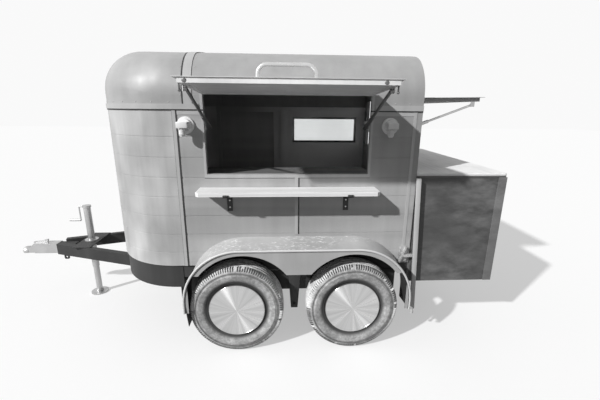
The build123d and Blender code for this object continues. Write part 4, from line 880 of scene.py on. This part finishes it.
def beltBeads(beltFoot):  # a black bead, a painted shadow line under the belt, where a wall reaches it
    planes = [((0, 0, beltFoot), (0, 0, 1)), ((0, 0, beltFoot - beadShape["beltDrop"]), (0, 0, -1))]
    beads = []
    for nodeName in ("nose_panel", "side_near", "side_far", "rear_panel"):
        piece = sliceOf(nodeName, "bead_" + nodeName, planes, outOfWall, beadShape["proud"] * 2)
        if len(piece.data.polygons):
            beads.append(piece)
        else:
            bpy.data.objects.remove(piece)
    return beads


def seamBeads(beltFoot):  # black beads, painted shadow lines on both sides of the seam strips
    thick, thin, half = beadShape["thick"], beadShape["thin"], beadShape["seamHalf"]
    beads = []
    for side, wallY in ((-1, nearWallY), (1, farWallY)):
        inY, outY = sorted((wallY, wallY + side * beadShape["proud"]))
        for foreX, aftX in ((seamX - half - thin, seamX - half), (seamX + half, seamX + half + thick)):
            beads.append(straightBar("seamBead", (foreX, inY, wallFootZ), (aftX, outY, beltFoot)))
    return beads


def caseBeads():  # black beads, painted shadow lines along the foot of the serving opening's case, and beside the strip under it
    outY = nearWallY - beadShape["proud"]
    caseZ = beadShape["caseZ"]
    lineZ = caseZ - beadShape["caseLine"]
    foreX = beadShape["stripX"] + beadShape["seamHalf"]
    return [straightBar("stripBead", (foreX, outY, guardHigh.z + beadShape["aboveGuard"]),
                        (foreX + beadShape["stripBead"], nearWallY, lineZ)),
            straightBar("caseBead", (skinLow.x, outY, lineZ), (skinHigh.x, nearWallY, caseZ))]


def makeBeads():
    beltFoot = beltLow.z - beltShape["drop"]
    parts = [*shellBeads(), *beltBeads(beltFoot), *seamBeads(beltFoot), *caseBeads()]
    beads = joinPieces(parts, "sealBeads")
    finishMesh(beads, beadShape["smooth"])
    dress(beads, sealBead, "trailer")


makeBeads()
print("shadow-line beads")


# small domed rivets along the band, the belt and the nose

rivetShape = {
    "segments": 12, "rings": [(0.0042, 0.0006), (0.0042, -0.0008), (0.0036, -0.0020), (0.0018, -0.0027)],
    "smooth": 40, "bandPitch": 0.09, "beltPitch": 0.1, "besideBand": 0.018, "aboveBelt": 0.012,
    "bandFan": 88, "bandEnd": 0.02, "noseMiddle": 0.69, "noseEnd": 0.03, "sideStart": 0.05, "sideEnd": 0.03,
    "rayStart": 2,
}


def hitOn(nodeName, start, direction):
    found, place, normal, index = nodes[nodeName].ray_cast(Vector(start), Vector(direction).normalized())
    return (place, normal) if found else None


def spacedHits(nodeName, rays, pitch, isWanted):
    kept = []
    for start, direction in rays:
        hit = hitOn(nodeName, start, direction)
        if hit and isWanted(hit[0]) and (not kept or (hit[0] - kept[-1][0]).length >= pitch):
            kept.append(hit)
    return kept


def bandRivets(nodeName, x):  # a fan of rays that meets the section from above its middle
    rays = []
    for step in range(-rivetShape["bandFan"], rivetShape["bandFan"] + 1):
        out = Vector((0, sin(radians(step)), cos(radians(step))))
        rays.append((Vector((x, 0, beltHigh.z)) + out * rivetShape["rayStart"], -out))
    lowest = beltHigh.z + rivetShape["bandEnd"]
    return spacedHits(nodeName, rays, rivetShape["bandPitch"], lambda place: place.z > lowest)


def noseRivets(z):  # a level ring of rays round the nose
    rays = []
    for step in range(361):
        out = Vector((cos(radians(step)), sin(radians(step)), 0))
        rays.append((Vector((noseX + rivetShape["noseMiddle"], 0, z)) + out * rivetShape["rayStart"], -out))
    last = beadShape["strapFore"] - rivetShape["noseEnd"]
    return spacedHits("roof_front", rays, rivetShape["beltPitch"], lambda place: place.x < last)


def sideRivets(z):
    hits = []
    for side in (-1, 1):
        x = beadShape["strapAft"] + rivetShape["sideStart"]
        while x < rearX - rivetShape["sideEnd"]:
            hits.append(hitOn("roof_main", (x, side * rivetShape["rayStart"], z), (0, -side, 0)))
            x += rivetShape["beltPitch"]
    return [hit for hit in hits if hit]


def makeRivets():
    beside = rivetShape["besideBand"]
    rowZ = beltHigh.z - beltShape["drop"] + rivetShape["aboveBelt"]
    hits = [*bandRivets("roof_front", beadShape["strapFore"] - beside),
            *bandRivets("roof_main", beadShape["strapAft"] + beside), *noseRivets(rowZ), *sideRivets(rowZ)]
    model = turnedPiece("rivet", (0, 0, 0), rivetShape["rings"], rivetShape["segments"])
    rivets = []
    for place, normal in hits:
        turn = Vector((0, -1, 0)).rotation_difference(normal).to_matrix().to_4x4()
        rivets.append(copyOf(model, "rivetCopy", Matrix.Translation(place) @ turn))
    bpy.data.objects.remove(model)
    rivets = joinPieces(rivets, "rivets")
    finishMesh(rivets, rivetShape["smooth"])
    dress(rivets, paints["trim"], "trailer")
    print("rivets:", len(hits))


makeRivets()


# serving hatch: grab tube, sheet, and hooks and bolts at the front corners

hatchShape = {
    "smooth": 40, "tubeRadius": 0.0105, "tubeSides": 20, "tubeMid": 2.435, "tubeHalf": 0.149, "footZ": 1.452,
    "topZ": 1.531, "bend": 0.05, "bendSteps": 8, "edgeReach": 0.004, "edgeBack": (0, 0.0175, -0.00107),
    "boltX": (1.935, 2.935), "boltZ": 1.447, "boltSides": 24,
    "boltRings": [(0.0115, 0.001), (0.0115, -0.0012), (0.010695, -0.0022), (0.00805, -0.0033),
                  (0.004025, -0.0038)],
    "hookX": (1.9045, 3.0025), "hookTop": 1.446, "hookIn": 0.012, "hookSize": (0.005, 0.016, 0.046),
    "knobRadius": 0.0075,
}


def makeGrabTube():
    low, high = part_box("hatch_grab_tube")
    y = (low.y + high.y) / 2
    left, right = (hatchShape["tubeMid"] + side * hatchShape["tubeHalf"] for side in (-1, 1))
    footZ, bend, steps = hatchShape["footZ"], hatchShape["bend"], hatchShape["bendSteps"]
    bendZ = hatchShape["topZ"] - bend
    ops.mesh.primitive_circle_add(vertices=hatchShape["tubeSides"], radius=hatchShape["tubeRadius"],
                                  location=(left, y, footZ), fill_type="NGON")
    tube = settle(newPiece("hatchGrabTube"))
    startEdit(tube)
    ops.mesh.select_all(action="SELECT")
    extrudeBy(0, 0, bendZ - footZ)
    ops.mesh.spin(steps=steps, angle=-pi / 2, center=(left + bend, y, bendZ), axis=(0, 1, 0))
    extrudeBy(right - left - 2 * bend, 0, 0)
    ops.mesh.spin(steps=steps, angle=-pi / 2, center=(right - bend, y, bendZ), axis=(0, 1, 0))
    extrudeBy(0, 0, footZ - bendZ)
    stopEdit()
    finishMesh(tube, hatchShape["smooth"])
    dress(tube, polishedTube, bodyOf["hatch_grab_tube"])
    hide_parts("hatch_grab_tube")


def makeHatchSkin():  # the sheet ends almost flush with the frame's front rail
    skin = editCopy("hatch_skin", "hatchSkin")
    selectPoints(skin, lambda place: place.y < skinLow.y + hatchShape["edgeReach"])
    ops.transform.translate(value=hatchShape["edgeBack"])
    stopEdit()
    finishMesh(skin, hatchShape["smooth"])
    dress(skin, aluminiumSheet, bodyOf["hatch_skin"])
    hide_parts("hatch_skin")


def makeHatchFittings():
    fittings = []
    for x in hatchShape["boltX"]:
        place, normal = hitOn("hatch_frame", (x, hatchFrontY - 0.5, hatchShape["boltZ"]), (0, 1, 0))
        fittings.append(turnedPiece("bolt", place, hatchShape["boltRings"], hatchShape["boltSides"]))
    width, depth, height = hatchShape["hookSize"]
    for x in hatchShape["hookX"]:
        top = Vector((x, hatchFrontY + hatchShape["hookIn"], hatchShape["hookTop"]))
        fittings.append(straightBar("hook", top + Vector((-width / 2, 0, -height)),
                                    top + Vector((width / 2, depth, 0))))
        ops.mesh.primitive_uv_sphere_add(segments=16, ring_count=10, radius=hatchShape["knobRadius"],
                                         location=top + Vector((0, depth / 2, -height)))
        fittings.append(settle(newPiece("knob")))
    fittings = joinPieces(fittings, "hatchFittings")
    finishMesh(fittings, hatchShape["smooth"])
    dress(fittings, darkSteel, bodyOf["hatch_frame"])


makeGrabTube()
makeHatchSkin()
makeHatchFittings()
print("hatch fittings")


# shelf brackets, prop bar, dark plates that paint the shade round the wheels, spring hangers and mud flaps

bracketShape = {
    "smooth": 35, "middles": (2.040, 2.865), "width": 0.038, "skin": 0.006, "foot": 0.612, "front": -0.9555,
    "lip": 0.012, "screwZ": (0.640, 0.690), "screwSides": 16,
    "screwRings": [(0.0055, 0.001), (0.0055, -0.001), (0.0038, -0.0028)],
}


def makeBrackets():
    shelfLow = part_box("serving_shelf")[0]
    underZ, half, skin = shelfLow.z, bracketShape["width"] / 2, bracketShape["skin"]
    footZ, frontY, lipZ = bracketShape["foot"], bracketShape["front"], underZ + bracketShape["lip"]
    steel, screws = [], []
    for x in bracketShape["middles"]:
        left, right = x - half, x + half
        steel += [
            straightBar("leg", (left, nearWallY - skin, footZ), (right, nearWallY, underZ)),
            straightBar("arm", (left, frontY, underZ - skin), (right, nearWallY, underZ)),
            straightBar("lip", (left, frontY, underZ - skin), (right, shelfLow.y, lipZ)),
        ]
        for z in bracketShape["screwZ"]:
            screws.append(turnedPiece("screw", (x, nearWallY - skin, z), bracketShape["screwRings"],
                                      bracketShape["screwSides"]))
    brackets = joinPieces(steel, "shelfBrackets")
    finishMesh(brackets, bracketShape["smooth"])
    dress(brackets, paints["bracket"], "trailer")
    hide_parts("shelf_brackets")
    screws = joinPieces(screws, "bracketScrews")
    finishMesh(screws, bracketShape["smooth"])
    dress(screws, zinc, "trailer")


barShape = {
    "smooth": 35, "top": (3.375, 0.848), "foot": (3.424, -0.190), "width": 0.030, "depth": 0.020, "y": -0.812,
    "boltRings": [(0.009, 0.0), (0.009, -0.040), (0.013, -0.040), (0.013, -0.052), (0.008, -0.054)],
    "boltSides": 20, "boltLift": 0.012,
}
catchShape = {
    "smooth": 35, "plate": ((3.288, -0.790, 0.205), (3.352, -0.781, 0.318)),
    "pin": ((3.300, -0.812, 0.246), (3.400, -0.785, 0.264)),
    "lever": ((3.304, -0.806, 0.196), (3.320, -0.790, 0.330)), "leverTurn": 0.35,
}


def makePropBar():  # an upright bar leaned to its place
    (topX, topZ), (footX, footZ) = barShape["top"], barShape["foot"]
    half, deep, y = barShape["width"] / 2, barShape["depth"] / 2, barShape["y"]
    slope = (footX - topX) / (footZ - topZ)
    bar = straightBar("bar", (-half, -deep, footZ), (half, deep, topZ))
    lean = Matrix(((1, 0, slope, 0), (0, 1, 0, 0), (0, 0, 1, 0), (0, 0, 0, 1)))
    bar.data.transform(Matrix.Translation((topX - slope * topZ, y, 0)) @ lean)
    bolt = turnedPiece("footBolt", (0, 0, 0), barShape["boltRings"], barShape["boltSides"])
    bolt.data.transform(Matrix.Translation((footX, y, footZ + barShape["boltLift"]))
                        @ Matrix.Rotation(pi / 2, 4, "X"))
    bar = joinPieces([bar, bolt], "propBar")
    finishMesh(bar, barShape["smooth"])
    dress(bar, paints["bar"], "trailer")
    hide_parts("prop_bar")


def makeBarCatch():
    plate, pin, lever = (straightBar(key, *catchShape[key]) for key in ("plate", "pin", "lever"))
    leverLow, leverHigh = catchShape["lever"]
    middle = (Vector(leverLow) + Vector(leverHigh)) / 2
    lever.data.transform(Matrix.Translation(middle) @ Matrix.Rotation(catchShape["leverTurn"], 4, "Y")
                         @ Matrix.Translation(-middle))
    catch = joinPieces([plate, pin, lever], "barCatch")
    startEdit(catch)
    ops.mesh.select_all(action="SELECT")
    ops.mesh.subdivide(number_cuts=2)
    stopEdit()
    finishMesh(catch, catchShape["smooth"])
    dress(catch, roughCast, "trailer")


shadePlateShape = {"y": 0.700, "skin": 0.006, "top": 0.104,
               "plates": ((1.622, 1.930, -0.130), (2.290, 2.710, -0.060), (3.070, 3.300, -0.200))}
hangerShape = {
    "x": 2.5, "half": 0.048, "y": 0.712, "skin": 0.010, "gap": 0.030, "low": -0.205, "top": 0.104,
    "footShare": 0.55, "eyeRings": [(0.011, -0.02), (0.011, 0.042), (0.0066, 0.046)], "eyeZ": -0.172,
    "eyeSides": 24,
}
flapShape = {"x": 1.716, "y": (0.800, 0.955), "top": -0.045, "low": -0.205, "skin": 0.004, "lean": 0.016}
underShape = {"smooth": 35, "footReach": 0.01}


# near-black plates inside the wheels: painted shade under the trailer
def makeShadePlates(side):
    skinYs = (side * shadePlateShape["y"], side * (shadePlateShape["y"] + shadePlateShape["skin"]))
    lowY, highY = sorted(skinYs)
    return [straightBar("splash", (fore, lowY, low), (aft, highY, shadePlateShape["top"]))
            for fore, aft, low in shadePlateShape["plates"]]


def makeHanger(side):  # two tapered cheeks and the eye that passes through them
    x, half, low, top = (hangerShape[key] for key in ("x", "half", "low", "top"))
    parts = []
    for stand in (0, hangerShape["gap"]):
        outY = hangerShape["y"] + stand
        lowY, highY = sorted((side * outY, side * (outY - hangerShape["skin"])))
        cheek = straightBar("cheek", (x - half, lowY, low), (x + half, highY, top))
        startEdit(cheek)
        selectPoints(cheek, lambda place: place.z < low + underShape["footReach"])
        ops.transform.resize(value=(hangerShape["footShare"], 1, 1), center_override=(x, lowY, low))
        stopEdit()
        parts.append(cheek)
    rings = [(radius, side * y) for radius, y in hangerShape["eyeRings"]]
    eyePlace = (x, side * hangerShape["y"], hangerShape["eyeZ"])
    return [*parts, turnedPiece("eye", eyePlace, rings, hangerShape["eyeSides"])]


def makeFlap(side):
    lowY, highY = sorted(side * y for y in flapShape["y"])
    foreX, low = flapShape["x"], flapShape["low"]
    flap = straightBar("flap", (foreX, lowY, low), (foreX + flapShape["skin"], highY, flapShape["top"]))
    startEdit(flap)
    selectPoints(flap, lambda place: place.z < low + underShape["footReach"])
    ops.transform.translate(value=(flapShape["lean"], 0, 0))
    stopEdit()
    return flap


def makeUnderparts():
    steel, rubber = [], []
    for side in (-1, 1):
        steel += [*makeShadePlates(side), *makeHanger(side)]
        rubber.append(makeFlap(side))
    steel = joinPieces(steel, "underParts")
    finishMesh(steel, underShape["smooth"])
    dress(steel, paints["chassis"], "trailer")
    rubber = joinPieces(rubber, "mudFlaps")
    finishMesh(rubber, underShape["smooth"])
    dress(rubber, sealBead, "trailer")


makeBrackets()
makePropBar()
makeBarCatch()
makeUnderparts()
print("brackets, bar and underparts")
